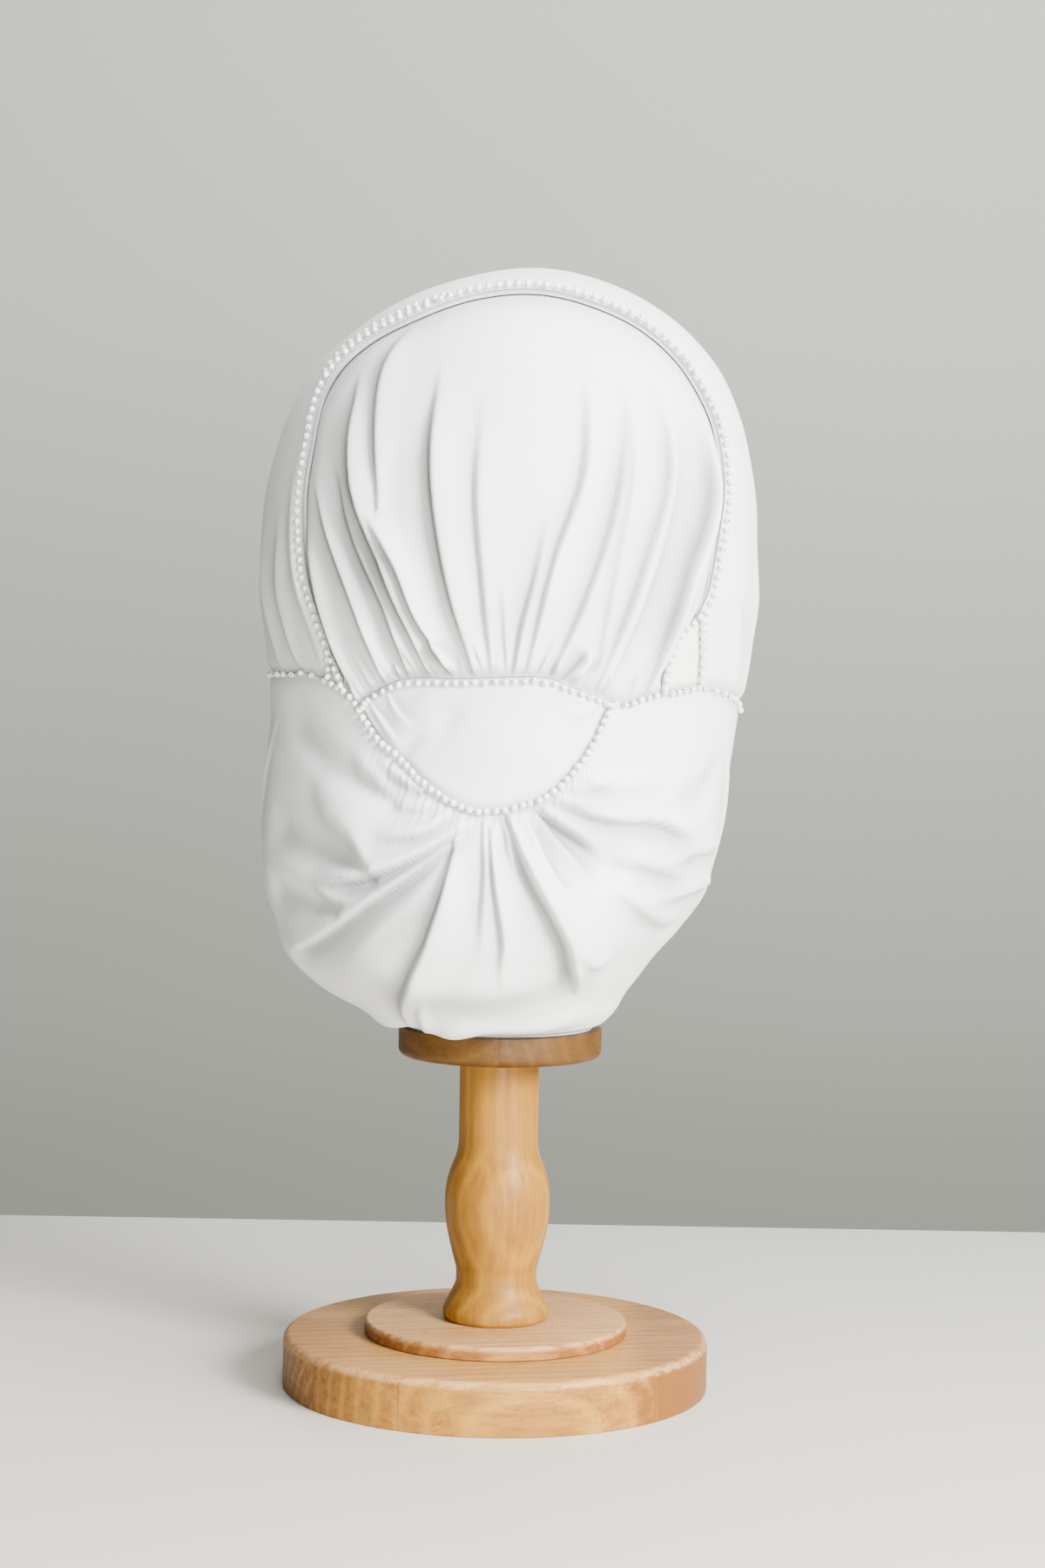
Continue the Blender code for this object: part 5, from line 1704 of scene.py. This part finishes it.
@dataclass(frozen=True)
class TurnedPiece:
    """A round of wood turned from a profile of radius and height rows."""

    node: str
    foot: float
    profile: tuple[tuple[float, float], ...]
    sides: int = 144
    sharp: float = 40.0

    def build(self, finish: bpy.types.Material) -> bpy.types.Object:
        """Spin the profile, close both ends with flat faces and replace the node."""
        rows = np.array(self.profile)
        turn = np.linspace(0.0, 2.0 * math.pi, self.sides, endpoint=False)
        x = rows[:, :1] * np.cos(turn)
        y = rows[:, :1] * np.sin(turn)
        z = np.broadcast_to(rows[:, 1:] + self.foot, x.shape)
        vertices = np.stack([x, y, z], -1).reshape(-1, 3) * MM
        index = np.arange(len(vertices)).reshape(x.shape)
        quads = tube_quads(index)
        faces = quads.tolist() + [index[0][::-1].tolist(), index[-1].tolist()]
        name = "turned_" + self.node.removeprefix("stand_")
        mesh = bpy.data.meshes.new(name)
        mesh.from_pydata(vertices.tolist(), [], faces)
        mesh.shade_smooth()
        mesh.set_sharp_from_angle(angle=math.radians(self.sharp))
        mesh.materials.append(finish)
        piece = link(name, mesh)
        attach(piece, BODY)
        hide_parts(self.node)
        LOG.info("%s: %d faces", name, len(faces))
        return piece


@dataclass(frozen=True)
class TurnedStand:
    """The base, its raised step, the column and the disc that carries the bag."""

    base_radius: float = 85.8
    base_height: float = 21.0
    step_radius: float = 53.0
    step_height: float = 5.4
    disc_radius: float = 41.0
    disc_height: float = 11.5
    disc_top: float = 145.0
    edge_round: float = 3.2
    gap: float = 0.3
    column_rows: tuple[tuple[float, float], ...] = (
        # radius, height
        (20.4, 0.0), (21.3, 1.2), (21.4, 3.6), (20.9, 5.2), (19.3, 8.4), (17.6, 11.7),
        (16.4, 15.0), (16.3, 19.0), (17.4, 24.0), (19.4, 32.0), (20.9, 40.2), (21.3, 48.0),
        (20.5, 55.6), (19.1, 60.6), (16.7, 67.0), (16.0, 72.0),
    )

    @staticmethod
    def disc(radius: float, height: float, low: float, high: float) -> tuple:
        """Return the profile of a disc whose lower and upper edges are quarter rounds."""
        turn = np.linspace(0.0, 0.5 * math.pi, 9)
        lower = np.stack([radius - low + low * np.sin(turn), low - low * np.cos(turn)], -1)
        upper = np.stack([radius - high + high * np.cos(turn),
                          height - high + high * np.sin(turn)], -1)
        return tuple(map(tuple, np.vstack([lower, upper])))

    def column(self, height: float) -> tuple:
        """Return the column's profile, a smooth curve through its rows up to the disc."""
        rows = np.array(self.column_rows + ((self.column_rows[-1][0], height),))
        at = np.concatenate([np.linspace(0.0, 72.0, 97), [0.5 * (72.0 + height), height]])
        radius = smooth_curve(rows[:, 1], rows[:, 0], at)
        return tuple(zip(radius.tolist(), at.tolist()))

    def build(self, effects: SharedEffects) -> None:
        """Turn the four pieces and finish each with its own wood, the disc's darkened by painted
        shadow.
        """
        # the base's darker ends: end grain, and at +X painted shade as well
        plank = WoodFinish("rubberwood_base", light=(0.40, 0.19, 0.030),
                           dark=(0.18, 0.066, 0.010), blush=(0.31, 0.132, 0.028),
                           end_dark=1.1, pale_band_height=0.0196)
        step = WoodFinish("rubberwood_step", light=(0.40, 0.20, 0.048),
                          dark=(0.20, 0.07, 0.014), blush=(0.36, 0.165, 0.045),
                          plank_width=0.09, pith=(0.0, -0.09, 0.06), rim_radius=0.0525,
                          rim_dark=0.55, pale_band_height=0.0263)
        post = WoodFinish("rubberwood_column", light=(0.36, 0.175, 0.020),
                          dark=(0.17, 0.066, 0.006), blush=(0.29, 0.128, 0.014),
                          grain=Grain.ALONG_Z, plank_width=0.09, plank_shift=0.045,
                          own_row=0.0, ring_pitch=0.0055, pores=0.45, pith=(0.0, 0.02, 0.012))
        # painted shadow: the disc is the same wood as the column at about a third of its
        # brightness, standing in for the bag's shadow on it
        top = WoodFinish("rubberwood_disc_painted_shadow", light=(0.098, 0.045, 0.0075),
                         dark=(0.052, 0.020, 0.003), blush=(0.078, 0.034, 0.005),
                         grain=Grain.ALONG_Y, plank_width=0.05, plank_shift=0.0,
                         own_row=-1.0, ring_pitch=0.007, pores=0.8, pith=(0.0, -0.02, 0.16))
        step_foot = self.base_height + self.gap
        column_foot = step_foot + self.step_height + self.gap
        disc_foot = self.disc_top - self.disc_height
        column = self.column(disc_foot - self.gap - column_foot)
        base = self.disc(self.base_radius, self.base_height, 0.5, self.edge_round)
        TurnedPiece("stand_base", 0.0, base).build(plank.material(effects))
        raised = self.disc(self.step_radius, self.step_height, 0.3, 1.5)
        TurnedPiece("stand_step", step_foot, raised).build(step.material(effects))
        TurnedPiece("stand_column", column_foot, column).build(post.material(effects))
        disc = self.disc(self.disc_radius, self.disc_height, self.edge_round, 0.3)
        TurnedPiece("stand_top_disc", disc_foot, disc).build(top.material(effects))


@dataclass(frozen=True)
class Studio:
    """The camera, the pale table and backdrop, and soft window light from the right."""

    camera_place: tuple[float, float, float] = (7.35, -1150.0, 285.0)
    pitch: float = 2.08
    roll: float = 0.96
    lens: float = 65.6
    table_back: float = 340.0
    backdrop: float = 1500.0
    lamps: tuple = (
        # name, place, aim, size, power, share of blue
        ("window_right", (1.15, -1.25, 0.85), (0.0, 0.0, 0.28), 0.6, 150.0, 0.99),
        ("side_right", (1.5, -0.2, 0.7), (0.0, 0.0, 0.4), 0.7, 8.0, 0.99),
        ("front_fill", (0.3, -1.6, 0.45), (0.0, 0.0, 0.25), 0.5, 7.0, 0.99),
        ("low_front", (0.25, -1.5, 0.14), (0.0, 0.0, 0.2), 0.4, 25.0, 0.99),
        ("from_above", (0.2, -0.35, 1.5), (0.0, 0.0, 0.28), 0.6, 28.0, 0.99),
        ("on_backdrop", (0.3, 0.75, 1.9), (0.0, 1.5, 1.2), 1.4, 34.0, 0.98),
    )

    def camera(self) -> None:
        """Set the camera: its axes come from the pitch down and the roll."""
        pitch, roll = math.radians(self.pitch), math.radians(self.roll)
        forward = np.array([0.0, math.cos(pitch), -math.sin(pitch)])
        level = np.array([1.0, 0.0, 0.0])
        up = np.cross(level, forward)
        right = level * math.cos(roll) + up * math.sin(roll)
        up = up * math.cos(roll) - level * math.sin(roll)
        data = bpy.data.cameras.new("camera")
        data.sensor_fit = "VERTICAL"
        data.sensor_height = 36.0
        data.lens = self.lens
        data.clip_start = 0.02
        camera = link("camera", data)
        turned = Matrix(np.stack([right, up, -forward], 1).tolist()).to_4x4()
        camera.matrix_world = Matrix.Translation([v * MM for v in self.camera_place]) @ turned
        bpy.context.scene.camera = camera

    @staticmethod
    def sheet(name: str, corners: Array, finish: bpy.types.Material) -> None:
        """Add a flat stage surface from four corners in millimetres."""
        mesh = bpy.data.meshes.new(name)
        mesh.from_pydata((corners * MM).tolist(), [], [(0, 1, 2, 3)])
        mesh.materials.append(finish)
        piece = link(name, mesh)

    @staticmethod
    def lamp(name: str, place: tuple[float, float, float], aim: tuple[float, float, float],
             size: float, power: float, blue: float) -> None:
        """Add a square soft light that looks at a point, all in metres."""
        data = bpy.data.lights.new(name, "AREA")
        data.shape = "SQUARE"
        data.size = size
        data.energy = power
        data.color = (1.0, 1.0, blue)
        lamp = link(name, data)
        way = Matrix.Translation(place).to_translation() - Matrix.Translation(aim).to_translation()
        lamp.location = place
        lamp.rotation_euler = way.to_track_quat("Z", "Y").to_euler()

    def build(self, effects: SharedEffects) -> None:
        """Set up the camera, the stage and the lights."""
        self.camera()
        # painted shade: the table darkens towards the back and the backdrop towards the bottom
        table = StudioFinish("table_top", (0.60, 0.575, 0.50), (0.42, 0.41, 0.37), 1,
                             -0.25, 0.34, 0.5)
        wall = StudioFinish("backdrop_cloth", (0.34, 0.35, 0.312), (0.205, 0.205, 0.18), 2,
                            0.6, -0.15, 0.9)
        wide, low, high = 4000.0, -1500.0, 3500.0
        back, far = self.table_back, self.backdrop
        flat = np.array([(-wide, -wide, 0.0), (wide, -wide, 0.0), (wide, back, 0.0),
                         (-wide, back, 0.0)])
        self.sheet("table", flat, table.material(effects))
        upright = np.array([(-wide, far, low), (wide, far, low), (wide, far, high),
                            (-wide, far, high)])
        self.sheet("backdrop", upright, wall.material(effects))
        for row in self.lamps:
            self.lamp(*row)
        world = bpy.data.worlds.new("room")
        world.use_nodes = True
        ground = world.node_tree.nodes["Background"]
        ground.inputs["Color"].default_value = (0.93, 0.95, 0.94, 1.0)
        ground.inputs["Strength"].default_value = 0.05
        bpy.context.scene.world = world


def build_cloth(effects: SharedEffects) -> None:
    """Make the six cloth panels and dress them."""
    satin = ClothFinish("white_satin", (0.80, 0.815, 0.81), (0.77, 0.79, 0.785))
    ivory = ClothFinish("gusset_ivory", (0.80, 0.80, 0.735), (0.77, 0.765, 0.69), sheen=0.08)
    white, cream = satin.material(effects), ivory.material(effects)
    bag, disc = ("neck_bag",), ("turned_top_disc",)
    CrownPanel("pleated_crown", "crown_panel", "cloth", "gathered", (0.24, 0.19), 0.036, bag,
               gather_height=0.9, painted_shade_scale=1.0).build(white)
    FrontBand("smooth_band", "front_band", "cloth", "stretched", (0.50, 0.20), 0.060,
              bag).build(white)
    NapeYoke("half_moon_yoke", "nape_yoke", "cloth", "stretched", (0.11, 0.05), 0.0038, bag,
             seam_reach=2.6).build(white)
    Gusset("right_gusset", "gusset_right", "gusset_cloth", "stretched", (0.032, 0.018),
           0.00035, bag, seam_reach=2.0, inner=GUSSET_RIGHT_INNER,
           outer=GUSSET_RIGHT_OUTER).build(cream)
    Gusset("left_gusset", "gusset_left", "gusset_cloth", "stretched", (0.014, 0.011),
           0.00005, bag, seam_reach=1.4, inner=GUSSET_LEFT_INNER,
           outer=GUSSET_LEFT_OUTER).build(cream)
    NeckBag("puffed_neck_bag", "neck_bag", "cloth", "gathered", (0.60, 0.16), 0.085, disc,
            gather_height=0.8, gather_reach=8.0, seam_reach=2.6, ring=True).build(white)


def main() -> None:
    """Build the studio, the stand, the cloth and the sewn trim, in that order."""
    logging.basicConfig(level=logging.INFO, format="%(name)s: %(message)s")
    effects = SharedEffects()
    Studio().build(effects)
    TurnedStand().build(effects)
    build_cloth(effects)
    SewnTrim().build(BeadFinish().material(effects), ThreadFinish().material(effects))


if __name__ == "__main__":
    main()
